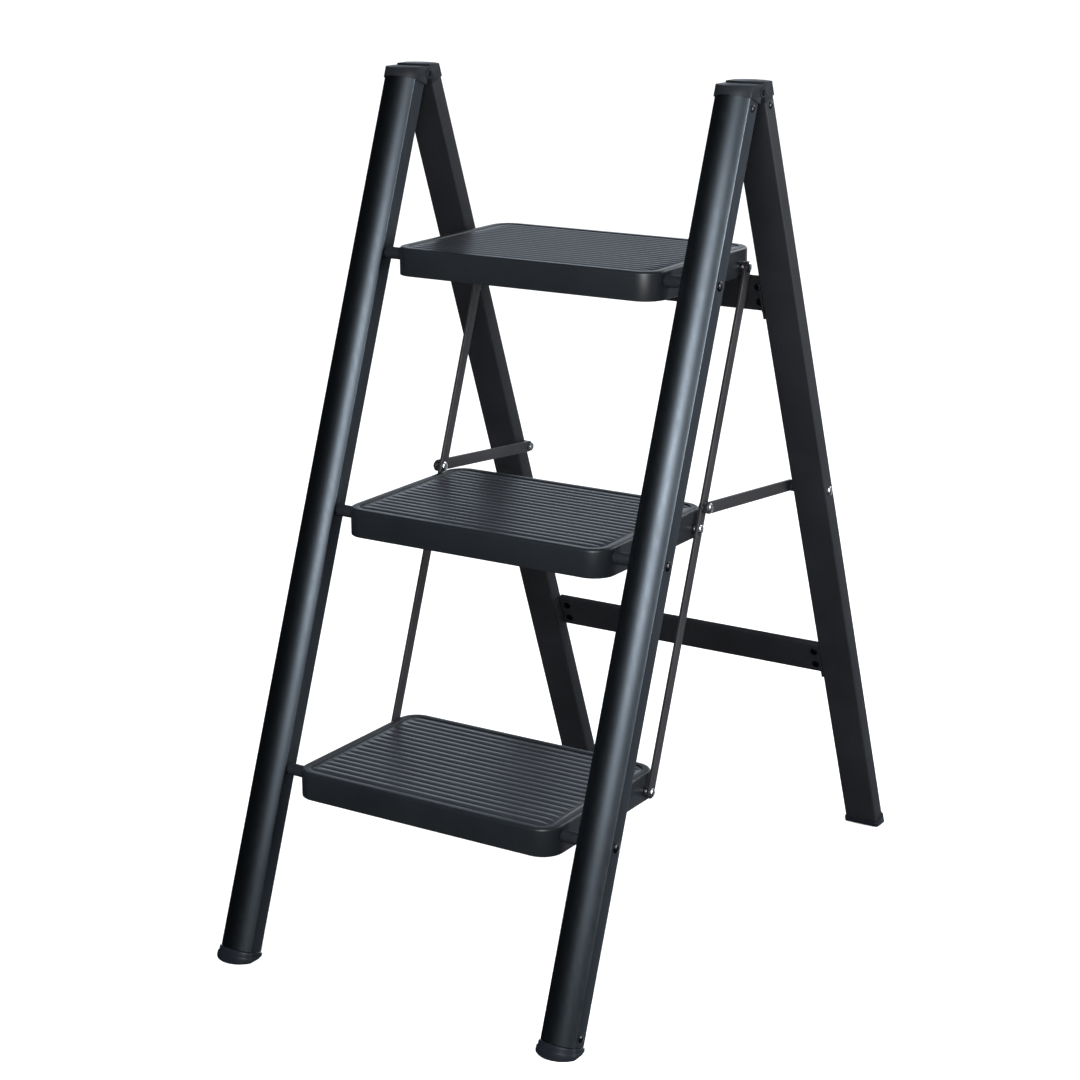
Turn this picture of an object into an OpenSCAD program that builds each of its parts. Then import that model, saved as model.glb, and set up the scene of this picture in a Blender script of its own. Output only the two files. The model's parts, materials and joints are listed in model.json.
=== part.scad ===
// Three-step folding ladder, standing open.
// Millimetres, Z up, the climbing side faces -Y. The origin is on the floor,
// midway between the two sides and midway between the front and rear feet.

/* [Overall] */
// Height of the top hinge axis above the floor
apex_z = 843; // [838:1:850]
// Place of the top hinge axis behind the origin
apex_y = 1.2; // [0:0.2:5]
// Lean of the front stiles from upright, degrees
stile_lean = 20.2; // [19.8:0.1:20.6]
// Lean of the rear legs from upright, degrees
leg_lean = 20.4; // [20:0.1:20.8]
// From the middle plane to the centre of a stile or a leg
stile_x = 188.7; // [188:0.1:190]
// From the hinge axis to the pivot line of a stile, and to that of a leg
hinge_offset = 12.3; // [12:0.1:13]

/* [Stiles and legs] */
// Width of both D sections, across the ladder
section_w = 37.4; // [36:0.2:38]
// Wall of both D sections
wall = 1.8; // [1.4:0.1:2.2]
// Depth of the straight sides of a stile
stile_side = 17.6; // [16:0.2:20]
// How far the rounded front of a stile stands out
stile_bulge = 9; // [7:0.5:10]
// From the pivot line back to the flat rear face of a stile
stile_inset = 9.3; // [9:0.1:10]
// Depth of the straight sides of a leg
leg_side = 16.4; // [15:0.2:17]
// How far the rounded back of a leg stands out
leg_bulge = 7; // [5:0.5:8]
// From the pivot line forward to the flat front face of a leg
leg_inset = 9.5; // [9:0.1:10]

/* [Treads] */
// Height of the lowest tread's axle
first_axle_z = 181; // [178:1:184]
// Rise from one tread to the next
step_rise = 246; // [244:1:248]
// Width of a tread
tread_w = 300; // [296:1:300]
// Depth of a tread, front to back
tread_d = 200.5; // [196:0.5:201]
// Height of a tread's skirt
skirt_h = 28; // [26:1:28]
// Radius of a tread's corners
corner_r = 22; // [15:1:24]
// Sheet thickness of a tread
sheet = 1.2; // [1:0.1:2]
// From the axle forward to the front edge of a tread
axle_setback = 22; // [20:0.5:24]
// From the axle up to the walking surface
axle_drop = 10; // [10:0.5:11]
// Smooth border around the ribbed mat
mat_border = 9; // [6:0.5:12]
// Number of ribs on a mat
rib_count = 18; // [14:1:22]

/* [Linkage] */
// From an axle back to the rear link rivet
rivet_back = 152.8; // [151:0.2:154]
// From an axle down to the rear link rivet
rivet_drop = 8.5; // [8:0.1:9]
// From the middle link rivet up the link bar to the strut pivot
strut_rise = 22.3; // [21:0.1:23]
// Height of the strut's pivot on a leg
leg_pivot_z = 424; // [422:0.5:426]
// Width of the link bars and struts
bar_w = 12; // [10:0.5:12]
// Thickness of the link bars and struts
bar_t = 3; // [2.5:0.1:3]

/* [Rear crossbars] */
// Height of the upper crossbar's top edge, just under the top tread
upper_bar_z = 649.5; // [645:0.5:650]
// Height of the lower crossbar's top edge
lower_bar_z = 229.5; // [220:0.5:240]
// Height of both crossbars along the legs
crossbar_h = 38; // [34:1:40]
// Depth of both crossbars
crossbar_t = 6; // [5:0.5:6.5]
// From the legs' front faces back to the upper crossbar, which clears the link bars
upper_setback = 15.9; // [15.4:0.1:16.4]
// From the legs' front faces back to the lower crossbar
lower_setback = 8.8; // [8:0.2:10]

/* [Fits] */
// Running clearance around every axle, rivet and pin
fit = 0.05; // [0.03:0.01:0.08]
// Gap between parts that pass each other
gap = 0.3; // [0.2:0.05:0.4]

/* [Hidden] */
$fn = 96;
STEPS = [1, 2, 3];

ANODISED = [0.14, 0.17, 0.21];
LEG_BLACK = [0.08, 0.08, 0.09];
PLASTIC = [0.10, 0.10, 0.11];
ENAMEL = [0.07, 0.07, 0.08];
RUBBER = [0.05, 0.05, 0.05];
ZINC = [0.78, 0.78, 0.76];

// Places across the ladder, from the middle plane outwards
inner_face = stile_x - section_w / 2;
outer_face = stile_x + section_w / 2;
tread_side = tread_w / 2;
link_x = tread_side + 3.5;
strut_x = link_x + bar_t + 3.5;

axle_d = 6;
rivet_d = 5;
head_d = 9.5;
head_h = 2.4;
spacer_d = 12;
washer_d = 11;
screw_d = 3;
screw_head_d = 7;
screw_head_h = 1.8;
ear_r = 4.8;
ear_web = 3.8;
ear_skin = 1.6;
tongue_w = 20;
cap_skin = 1.2;
cap_rise = 8;
band_drop = 11;
plug_len = 24;
stile_top = -5.2;
leg_top = -5.2;
stile_cut_z = 7;
leg_cut_z = 9;
screw_drop = 18.5;
foot_screw_z = 15;
mat_recess = 2;
rib_h = 0.8;
rib_w = 4.5;
mat_gap = 0.1;
stiffener_y = 95;
stiffener_w = 70;
stiffener_h = 14;
bush_len = 14;
bush_end = tread_side - sheet - 1.2;
bracket_t = 2;
crossbar_sheet = 1.6;

// Distance up a leaning frame's pivot line, zero level with the hinge axis
function along_stile(z) = (z - apex_z - hinge_offset * sin(stile_lean)) / cos(stile_lean);
function along_leg(z) = (z - apex_z - hinge_offset * sin(leg_lean)) / cos(leg_lean);
// Height of tread k's axle, and its place front to back
function axle_z(k) = first_axle_z + (k - 1) * step_rise;
function axle_y(k) = apex_y - hinge_offset * cos(stile_lean) + along_stile(axle_z(k)) * sin(stile_lean);
function leg_y(z) = apex_y + hinge_offset * cos(leg_lean) - along_leg(z) * sin(leg_lean);
// Rear link rivet of tread k, as [y, z]
function rivet(k) = [axle_y(k) + rivet_back, axle_z(k) - rivet_drop];
link_pitch = step_rise / cos(stile_lean);
strut_front = rivet(2) + strut_rise * [sin(stile_lean), cos(stile_lean)];
strut_back = [leg_y(leg_pivot_z), leg_pivot_z];
strut_len = norm(strut_back - strut_front);
strut_tilt = atan2(strut_back[1] - strut_front[1], strut_back[0] - strut_front[0]);

// ---- Frames and helpers ----

module side(s) mirror([s < 0 ? 1 : 0, 0, 0]) children();

module both_sides() for (s = [-1, 1]) side(s) children();

module at_apex() translate([0, apex_y, apex_z]) children();

// The front frame leans back: Z runs up the stiles' pivot line
module front_frame() at_apex() rotate([-stile_lean, 0, 0])
    translate([0, -hinge_offset, 0]) children();

// The rear frame leans forward: Z runs up the legs' pivot line
module rear_frame() at_apex() rotate([leg_lean, 0, 0])
    translate([0, hinge_offset, 0]) children();

module at_axle(k) translate([0, axle_y(k), axle_z(k)]) children();

module at(point) translate([0, point[0], point[1]]) children();

// A rod along X, from x0 to x1
module rod(x0, x1, d) translate([x0, 0, 0]) rotate([0, 90, 0]) cylinder(d = d, h = x1 - x0);

// A ring along X
module ring(x0, x1, d, bore) difference() {
    rod(x0, x1, d);
    rod(x0 - 1, x1 + 1, bore);
}

// A head with a sloping rim, from x0 outwards along +X, or -X where dir is -1
module head(x0, d, h, dir = 1) translate([x0, 0, 0]) rotate([0, dir * 90, 0]) {
    cylinder(d = d, h = h * 0.45);
    translate([0, 0, h * 0.45]) cylinder(d1 = d, d2 = d * 0.62, h = h * 0.55);
}

// D outline with its flat face on y = 0 and its rounded face towards +y
module d_outline(side_depth, bulge, grow = 0) {
    half = section_w / 2;
    radius = (half * half + bulge * bulge) / (2 * bulge);
    translate([-half - grow, -grow]) square([section_w + 2 * grow, side_depth + grow]);
    intersection() {
        translate([0, side_depth + bulge - radius]) circle(r = radius + grow);
        translate([-half - grow, side_depth]) square([section_w + 2 * grow, bulge + grow]);
    }
}

// The stile's section sits with its round face forward, the leg's with its round face back
module stile_outline(grow = 0) translate([stile_x, stile_inset]) mirror([0, 1])
    d_outline(stile_side, stile_bulge, grow);

module leg_outline(grow = 0) translate([stile_x, -leg_inset]) d_outline(leg_side, leg_bulge, grow);

module rounded_rect(w, d, r) {
    square([w - 2 * r, d], center = true);
    square([w, d - 2 * r], center = true);
    for (x = [-1, 1], y = [-1, 1]) translate([x * (w / 2 - r), y * (d / 2 - r)]) circle(r = r);
}

// ---- Front frame ----

module stile(s) color(ANODISED) side(s) front_frame() {
    bottom = along_stile(stile_cut_z);
    difference() {
        translate([0, 0, bottom]) linear_extrude(stile_top - bottom) stile_outline();
        translate([0, 0, bottom - 1]) linear_extrude(stile_top - bottom + 2) stile_outline(-wall);
        for (k = STEPS) translate([0, 0, along_stile(axle_z(k))])
            rod(inner_face - 1, outer_face + 1, axle_d + 2 * fit);
        for (z = [-screw_drop, along_stile(foot_screw_z)]) translate([0, 0, z])
            rod(outer_face - wall - 1, outer_face + 1, screw_d + 2 * fit);
    }
}

// Plug inside the top of a stile, a rounded band over it and a tongue on the hinge pin
module front_cap(s) color(PLASTIC) side(s) difference() {
    union() {
        intersection() {
            front_frame() translate([0, 0, -band_drop]) linear_extrude(40) stile_outline(cap_skin);
            at_apex() translate([0, -100, -60]) cube([300, 100 - gap / 2, 60 + cap_rise]);
        }
        front_frame() translate([0, 0, stile_top - plug_len]) linear_extrude(plug_len + 1)
            stile_outline(-wall - 0.1);
        at_apex() translate([stile_x - tongue_w / 2, 0, 0]) {
            rod(0, tongue_w, 2 * ear_r);
            translate([0, -10, -ear_web]) cube([tongue_w, 10, 2 * ear_web]);
        }
    }
    // the tube's end slides up into the band
    front_frame() difference() {
        translate([0, 0, stile_top - 20]) linear_extrude(20) stile_outline(fit);
        translate([0, 0, stile_top - 21]) linear_extrude(22) stile_outline(-wall - 0.1);
    }
    // room for the rear cap's two ears
    at_apex() {
        for (x = [inner_face - 5, stile_x + tongue_w / 2])
            rod(x, x + section_w / 2 - tongue_w / 2 + 5, 2 * (ear_r + gap));
        rod(inner_face - 5, outer_face + 5, axle_d + 2 * fit);
    }
    front_frame() translate([0, 0, -screw_drop]) rod(stile_x, outer_face + 5, screw_d + 2 * fit);
}

module hinge_pins() color(LEG_BLACK) both_sides() at_apex()
    rod(inner_face - cap_skin + 0.4, outer_face + cap_skin - 0.4, axle_d);

// Plug inside the foot of a stile, and a boot that wraps its end
module front_foot(s) color(PLASTIC) side(s) difference() {
    intersection() {
        front_frame() {
            translate([0, 0, along_stile(0) - 20]) linear_extrude(27) stile_outline(1.4);
            translate([0, 0, along_stile(0) - 20]) linear_extrude(22) stile_outline(2.6);
            translate([0, 0, along_stile(stile_cut_z) - 5]) linear_extrude(35) stile_outline(-wall - 0.1);
        }
        translate([0, -400, 0]) cube([300, 200, 100]);
    }
    front_frame() difference() {
        translate([0, 0, along_stile(stile_cut_z)]) linear_extrude(40) stile_outline(fit);
        translate([0, 0, along_stile(stile_cut_z) - 1]) linear_extrude(42) stile_outline(-wall - 0.1);
    }
    front_frame() translate([0, 0, along_stile(foot_screw_z)]) rod(stile_x, outer_face + 5, screw_d + 2 * fit);
}

module frame_screw() {
    rod(outer_face - 12, outer_face, screw_d);
    head(outer_face, screw_head_d, screw_head_h);
}

module front_screws() color(PLASTIC) both_sides() front_frame()
    for (z = [-screw_drop, along_stile(foot_screw_z)]) translate([0, 0, z]) frame_screw();

// A tie rod through both stiles, with a formed head at each end
module axle(k) color(LEG_BLACK) at_axle(k) {
    rod(-outer_face, outer_face, axle_d);
    both_sides() head(outer_face, head_d, head_h);
}

module axle_spacers() color(PLASTIC) for (k = STEPS) at_axle(k) both_sides()
    ring(tread_side + gap, inner_face, spacer_d, axle_d + 2 * fit);

// ---- Rear frame ----

module leg(s) color(LEG_BLACK) side(s) rear_frame() {
    bottom = along_leg(leg_cut_z);
    difference() {
        translate([0, 0, bottom]) linear_extrude(leg_top - bottom) leg_outline();
        translate([0, 0, bottom - 1]) linear_extrude(leg_top - bottom + 2) leg_outline(-wall);
        translate([0, 0, along_leg(leg_pivot_z)]) rod(inner_face - 1, outer_face + 1, axle_d + 2 * fit);
        for (z = [upper_z, lower_z], f = RIVET_SPOTS) translate([0, side_rivet_y, z + f])
            rod(inner_face - 1, inner_face + wall + 0.2, side_rivet_d + 2 * fit);
        translate([0, 0, -screw_drop]) rod(outer_face - wall - 1, outer_face + 1, screw_d + 2 * fit);
    }
}

// Plug inside the top of a leg, a band over it and two ears around the hinge pin
module rear_cap(s) color(PLASTIC) side(s) difference() {
    union() {
        intersection() {
            rear_frame() translate([0, 0, -band_drop]) linear_extrude(40) leg_outline(cap_skin);
            at_apex() translate([0, gap / 2, -60]) cube([300, 100, 60 + cap_rise + 1.5]);
        }
        rear_frame() translate([0, 0, leg_top - plug_len]) linear_extrude(plug_len + 1)
            leg_outline(-wall - 0.1);
        at_apex() translate([inner_face - ear_skin, 0, 0]) {
            rod(0, section_w + 2 * ear_skin, 2 * ear_r);
            translate([0, 0, -ear_web]) cube([section_w + 2 * ear_skin, 10, 2 * ear_web]);
        }
    }
    rear_frame() difference() {
        translate([0, 0, leg_top - 20]) linear_extrude(20) leg_outline(fit);
        translate([0, 0, leg_top - 21]) linear_extrude(22) leg_outline(-wall - 0.1);
    }
    // room for the front cap's tongue
    at_apex() {
        rod(stile_x - tongue_w / 2 - gap, stile_x + tongue_w / 2 + gap, 2 * (ear_r + gap));
        rod(inner_face - 5, outer_face + 5, axle_d + 2 * fit);
    }
    rear_frame() translate([0, 0, -screw_drop]) rod(stile_x, outer_face + 5, screw_d + 2 * fit);
}

// Plug inside the foot of a leg, on a thin pad
module rear_foot(s) color(PLASTIC) side(s) intersection() {
    rear_frame() {
        translate([0, 0, along_leg(0) - 10]) linear_extrude(along_leg(leg_cut_z) - along_leg(0) + 10)
            leg_outline(1.6);
        translate([0, 0, along_leg(leg_cut_z) - 1]) linear_extrude(26) leg_outline(-wall - 0.1);
    }
    translate([0, 200, 0]) cube([300, 200, 100]);
}

module rear_screws() color(PLASTIC) both_sides() rear_frame() translate([0, 0, -screw_drop]) frame_screw();

// Bottom edges of the two crossbars along the legs, and the rivets that hold their ends
upper_z = along_leg(upper_bar_z) - crossbar_h;
lower_z = along_leg(lower_bar_z) - crossbar_h;
RIVET_SPOTS = [0.28 * crossbar_h, 0.72 * crossbar_h];
rivet_inset = 12;
side_rivet_d = 3;
side_rivet_y = 1.9 - leg_inset;
crossbar_end = inner_face - bracket_t - 1.2;

// A channel between the legs, open to the back
module crossbar(z, setback) color(LEG_BLACK) rear_frame() translate([0, setback - leg_inset, z]) difference() {
    translate([-crossbar_end, 0, 0]) cube([2 * crossbar_end, crossbar_t, crossbar_h]);
    translate([-inner_face, crossbar_sheet, crossbar_sheet])
        cube([2 * inner_face, crossbar_t, crossbar_h - 2 * crossbar_sheet]);
    both_sides() for (f = RIVET_SPOTS) translate([inner_face - rivet_inset, -1, f])
        rotate([-90, 0, 0]) cylinder(d = rivet_d + 2 * fit, h = 4);
}

// Angle brackets: one leaf on the leg's inner side, one behind the crossbar's face
module crossbar_bracket(setback) difference() {
    back = setback + crossbar_sheet;
    union() {
        translate([inner_face - bracket_t, -leg_inset, 0]) cube([bracket_t, back + bracket_t, crossbar_h]);
        translate([inner_face - 20, back - leg_inset, crossbar_sheet])
            cube([20, bracket_t, crossbar_h - 2 * crossbar_sheet]);
    }
    for (f = RIVET_SPOTS) translate([0, 0, f]) {
        translate([0, side_rivet_y, 0])
            rod(inner_face - bracket_t - 1, inner_face + 1, side_rivet_d + 2 * fit);
        translate([inner_face - rivet_inset, back - leg_inset - 1, 0])
            rotate([-90, 0, 0]) cylinder(d = rivet_d + 2 * fit, h = bracket_t + 2);
    }
}

module crossbar_brackets() color(LEG_BLACK) rear_frame() both_sides() {
    translate([0, 0, upper_z]) crossbar_bracket(upper_setback);
    translate([0, 0, lower_z]) crossbar_bracket(lower_setback);
}

// Rivets of one bracket: two into the leg, two through the crossbar
module bracket_rivets(setback) for (f = RIVET_SPOTS) translate([0, 0, f]) {
    translate([0, side_rivet_y, 0]) {
        rod(inner_face - bracket_t, inner_face + wall, side_rivet_d);
        head(inner_face - bracket_t, side_rivet_d + 1, 1, -1);
    }
    translate([inner_face - rivet_inset, setback - leg_inset, 0]) rotate([0, 0, 90]) {
        rod(0, crossbar_sheet + bracket_t, rivet_d);
        head(0, rivet_d + 3, 1.2, -1);
    }
}

module crossbar_rivets() color(LEG_BLACK) rear_frame() both_sides() {
    translate([0, 0, upper_z]) bracket_rivets(upper_setback);
    translate([0, 0, lower_z]) bracket_rivets(lower_setback);
}

module strut_bolts() color(ZINC) both_sides() at(strut_back) {
    rod(strut_x - 3, outer_face, axle_d);
    head(outer_face, head_d, head_h);
}

module strut_spacers() color(PLASTIC) both_sides() at(strut_back)
    ring(strut_x + bar_t + gap, inner_face, spacer_d, axle_d + 2 * fit);

module strut_nuts() color(ZINC) both_sides() at(strut_back) ring(strut_x - 3, strut_x - gap, head_d, axle_d);

// ---- Steps ----

module tread(k) color(ENAMEL) at_axle(k) difference() {
    translate([0, tread_d / 2 - axle_setback, axle_drop - skirt_h]) linear_extrude(skirt_h)
        rounded_rect(tread_w, tread_d, corner_r);
    translate([0, tread_d / 2 - axle_setback, axle_drop - skirt_h - 1])
        linear_extrude(skirt_h + 1 - mat_recess - sheet)
        rounded_rect(tread_w - 2 * sheet, tread_d - 2 * sheet, corner_r - sheet);
    translate([0, tread_d / 2 - axle_setback, axle_drop - mat_recess]) linear_extrude(mat_recess + 1)
        rounded_rect(tread_w - 2 * mat_border, tread_d - 2 * mat_border, corner_r - mat_border);
    rod(-tread_side - 1, tread_side + 1, axle_d + 2 * fit);
    translate([0, rivet_back, -rivet_drop]) rod(-tread_side - 1, tread_side + 1, rivet_d + 2 * fit);
}

// Ribbed anti-slip mat in the recess of a tread
module mat(k) color(RUBBER) at_axle(k) translate([0, tread_d / 2 - axle_setback, axle_drop - mat_recess]) {
    w = tread_w - 2 * mat_border - 2 * mat_gap;
    d = tread_d - 2 * mat_border - 2 * mat_gap;
    rib_pitch = (d - 6) / rib_count;
    linear_extrude(mat_recess - rib_h) rounded_rect(w, d, corner_r - mat_border - mat_gap);
    for (i = [0 : rib_count - 1]) translate([-w / 2 + 4, -d / 2 + 3 + (i + 0.5) * rib_pitch - rib_w / 2, 0])
        cube([w - 8, rib_w, mat_recess]);
}

// Hat channel across the underside of a tread
module stiffener(k) color(ENAMEL) at_axle(k) {
    length = tread_w - 2 * sheet - 1;
    top = axle_drop - mat_recess - sheet;
    translate([-length / 2, stiffener_y, top]) rotate([90, 0, 90]) linear_extrude(length) difference() {
        union() {
            translate([-stiffener_w / 2, -stiffener_h]) square([stiffener_w, stiffener_h]);
            translate([-stiffener_w / 2 - 12, -sheet]) square([stiffener_w + 24, sheet]);
        }
        translate([-stiffener_w / 2 + sheet, -stiffener_h + sheet]) square([stiffener_w - 2 * sheet, stiffener_h]);
    }
}

// Bushes inside a tread's skirt, around the axle
module axle_bushes(k) color(PLASTIC) at_axle(k) both_sides()
    ring(bush_end - bush_len, bush_end, spacer_d, axle_d + 2 * fit);

// Rivets from a tread's skirt through the washers and link bars
module link_rivets(k) color(ZINC) at(rivet(k)) both_sides() {
    rod(tread_side - sheet, link_x + bar_t, rivet_d);
    head(tread_side - sheet, head_d, head_h, -1);
    head(link_x + bar_t + 0.1, head_d, head_h);
}

// ---- Linkage ----

// Link bars stay parallel to the stiles
module on_link() at(rivet(1)) rotate([-stile_lean, 0, 0]) children();

module flat_bar(x, length, width) translate([x, 0, 0]) rotate([90, 0, 90]) linear_extrude(bar_t) {
    translate([-width / 2, 0]) square([width, length]);
    for (z = [0, length]) translate([0, z]) circle(d = width);
}

module link_bar(s) color(LEG_BLACK) side(s) on_link() difference() {
    flat_bar(link_x, 2 * link_pitch, bar_w);
    for (z = [0, link_pitch, link_pitch + strut_rise, 2 * link_pitch]) translate([0, 0, z])
        rod(link_x - 1, link_x + bar_t + 1, rivet_d + 2 * fit);
}

module link_washers() color(ZINC) on_link() both_sides()
    for (k = STEPS) translate([0, 0, (k - 1) * link_pitch]) ring(tread_side + gap, link_x, washer_d, rivet_d + 2 * fit);

// Shouldered pins on the link bars, where the struts' front ends turn
module link_pins() color(ZINC) both_sides() at(strut_front) {
    rod(link_x, link_x + bar_t, rivet_d);
    head(link_x, head_d, head_h, -1);
    rod(link_x + bar_t, strut_x - gap, head_d);
}

// A strut's Z runs from its front pivot to its pivot on the leg
module on_strut() at(strut_front) rotate([strut_tilt - 90, 0, 0]) children();

module strut(s) color(LEG_BLACK) side(s) on_strut() difference() {
    flat_bar(strut_x, strut_len, bar_w);
    rod(strut_x - 1, strut_x + bar_t + 1, rivet_d + 2 * fit);
    translate([0, 0, strut_len]) rod(strut_x - 1, strut_x + bar_t + 1, axle_d + 2 * fit);
}

module strut_pins() color(ZINC) both_sides() at(strut_front) {
    rod(strut_x, strut_x + bar_t, rivet_d);
    head(strut_x + bar_t, head_d, head_h);
}

stile(-1);  // stile_left
stile(1);  // stile_right
front_cap(-1);  // front_cap_left
front_cap(1);  // front_cap_right
hinge_pins();
front_foot(-1);  // front_foot_left
front_foot(1);  // front_foot_right
front_screws();
axle(1);  // axle_1
axle(2);  // axle_2
axle(3);  // axle_3
axle_spacers();
leg(-1);  // leg_left
leg(1);  // leg_right
rear_cap(-1);  // rear_cap_left
rear_cap(1);  // rear_cap_right
rear_foot(-1);  // rear_foot_left
rear_foot(1);  // rear_foot_right
rear_screws();
crossbar(upper_z, upper_setback);  // crossbar_upper
crossbar(lower_z, lower_setback);  // crossbar_lower
crossbar_brackets();
crossbar_rivets();
strut_bolts();
strut_spacers();
strut_nuts();
tread(1);  // tread_1
tread(2);  // tread_2
tread(3);  // tread_3
mat(1);  // mat_1
mat(2);  // mat_2
mat(3);  // mat_3
stiffener(1);  // stiffener_1
stiffener(2);  // stiffener_2
stiffener(3);  // stiffener_3
axle_bushes(1);  // axle_bushes_1
axle_bushes(2);  // axle_bushes_2
axle_bushes(3);  // axle_bushes_3
link_rivets(1);  // link_rivets_1
link_rivets(2);  // link_rivets_2
link_rivets(3);  // link_rivets_3
link_bar(-1);  // link_bar_left
link_bar(1);  // link_bar_right
link_washers();
link_pins();
strut(-1);  // strut_left
strut(1);  // strut_right
strut_pins();
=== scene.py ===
# %% [markdown]
# # A folding step ladder with three treads
# The ladder stands open like a letter A. Two drawn aluminium stiles with a D section carry three
# pressed steel treads, two black legs hold it up from behind, and flat link bars and struts fold
# everything together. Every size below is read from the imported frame, so a piece lands where the
# frame has it. All numbers are metres unless a name says otherwise.

# %% Load the frame
import json
import math
import bmesh
import bpy
from mathutils import Matrix, Vector


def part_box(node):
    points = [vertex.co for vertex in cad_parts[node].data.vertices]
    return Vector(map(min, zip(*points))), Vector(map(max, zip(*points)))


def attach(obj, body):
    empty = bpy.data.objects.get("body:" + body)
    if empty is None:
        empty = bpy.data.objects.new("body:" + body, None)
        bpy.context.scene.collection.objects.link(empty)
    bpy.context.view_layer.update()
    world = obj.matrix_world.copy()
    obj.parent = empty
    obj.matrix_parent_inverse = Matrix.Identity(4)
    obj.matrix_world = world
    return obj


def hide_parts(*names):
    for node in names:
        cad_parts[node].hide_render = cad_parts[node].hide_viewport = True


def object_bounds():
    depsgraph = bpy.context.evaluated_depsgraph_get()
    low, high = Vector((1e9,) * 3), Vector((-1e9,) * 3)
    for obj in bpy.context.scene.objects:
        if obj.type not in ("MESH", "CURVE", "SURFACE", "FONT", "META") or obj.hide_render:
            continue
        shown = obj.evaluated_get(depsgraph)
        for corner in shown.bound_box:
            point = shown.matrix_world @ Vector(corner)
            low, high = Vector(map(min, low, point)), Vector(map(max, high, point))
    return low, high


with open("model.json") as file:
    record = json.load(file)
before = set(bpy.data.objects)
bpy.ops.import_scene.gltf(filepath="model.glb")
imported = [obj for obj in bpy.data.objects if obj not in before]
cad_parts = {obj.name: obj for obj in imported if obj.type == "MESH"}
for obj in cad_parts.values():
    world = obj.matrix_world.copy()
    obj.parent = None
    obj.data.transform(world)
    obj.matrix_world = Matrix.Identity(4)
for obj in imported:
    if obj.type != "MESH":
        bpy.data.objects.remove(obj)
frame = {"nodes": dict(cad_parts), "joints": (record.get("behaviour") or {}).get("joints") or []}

cad_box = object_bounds()
print("frame box", [round(v, 4) for corner in cad_box for v in corner])

# %% [markdown]
# ## Where things turn
# A ladder like this is set out from its pivots: the top hinge, one axle for each tread, the middle
# link rivet and the bolt that holds a strut on its leg. The joints of the frame give them exactly,
# and the lean of the stiles and legs follows from them.

# %% Pivots and leans
pivots = {joint["name"]: Vector(joint["pos_m"]) for joint in frame["joints"]}
hinge = pivots["rear_fold"]
axles = [pivots[f"step_{k}_fold"] for k in (1, 2, 3)]
strut_bolt = pivots["strut_swing"]
rise = axles[2] - axles[0]
stile_lean = math.atan2(rise.y, rise.z)
from_axle = hinge - axles[0]
hinge_offset = from_axle.y * math.cos(stile_lean) - from_axle.z * math.sin(stile_lean)
drop = hinge - strut_bolt
leg_lean = math.atan2(-drop.y, drop.z) - math.asin(hinge_offset / drop.length)
print("leans", round(math.degrees(stile_lean), 2), round(math.degrees(leg_lean), 2))

# %% [markdown]
# ## Two tilted workbenches
# It is easier to shape a leaning stile upright and tilt it afterwards. Each matrix below takes a
# piece from its own upright bench to the leaning place, with Z running up the line of the pivots.

# %% Benches for the front and the rear frame
def bench(lean, offset):
    """An upright bench whose Z axis leans back by lean, offset along its own Y from the hinge."""
    turn = Matrix.Rotation(-lean, 4, "X")
    return Matrix.Translation(hinge) @ turn @ Matrix.Translation((0, offset, 0))


front = bench(stile_lean, -hinge_offset)
rear = bench(-leg_lean, hinge_offset)


def span(node, place=Matrix(), keep=lambda p: True):
    """Lowest and highest corner of a node of the frame, measured on a bench."""
    back = place.inverted()
    points = [back @ v.co for v in frame["nodes"][node].data.vertices]
    points = [p for p in points if keep(p)]
    low = Vector(min(p[i] for p in points) for i in range(3))
    high = Vector(max(p[i] for p in points) for i in range(3))
    return low, high


def height_on(place, z):
    """How far up a bench the world height z lies, on the bench's own pivot line."""
    up = place.to_3x3().col[2]
    return (z - place.translation.z) / up.z


stile_low, stile_high = span("stile_right", front)
leg_low, leg_high = span("leg_right", rear)
print("stile", [round(v * 1000, 2) for v in (*stile_low, *stile_high)])
print("leg", [round(v * 1000, 2) for v in (*leg_low, *leg_high)])

# %% [markdown]
# ## The D section
# Both tubes are drawn with a flat face, two straight sides and one rounded face. Its outline is
# worked out here once: the flat, the two sides and an arc, with small radii where they meet. The
# small radii matter, because they catch the thin line of light that runs down each stile.

# %% The outline of a D
ARC_STEPS = 28
CORNER_STEPS = 5


def section_of(node, low, high, place, way):
    """Reads a D section off a node: way is +1 where it is rounded towards +Y, else -1."""
    outer = high.x - 0.0001
    side_low, side_high = span(node, place, lambda p: p.x > outer)
    flat = low.y if way > 0 else high.y
    return {"x": (low.x + high.x) / 2, "flat": flat, "way": way, "width": high.x - low.x,
            "side": side_high.y - side_low.y, "depth": high.y - low.y}


def round_corner(before, corner, after, radius, steps=CORNER_STEPS):
    """Points of an arc that rounds one corner of a flat outline."""
    a = (before - corner).normalized()
    b = (after - corner).normalized()
    half = a.angle(b) / 2
    centre = corner + (a + b).normalized() * radius / math.sin(half)
    start = corner + a * radius / math.tan(half) - centre
    end = corner + b * radius / math.tan(half) - centre
    turn = start.angle(end)
    shares = [i / steps for i in range(steps + 1)]
    return [centre + (start * math.sin((1 - f) * turn) + end * math.sin(f * turn)) / math.sin(turn)
            for f in shares]


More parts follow.
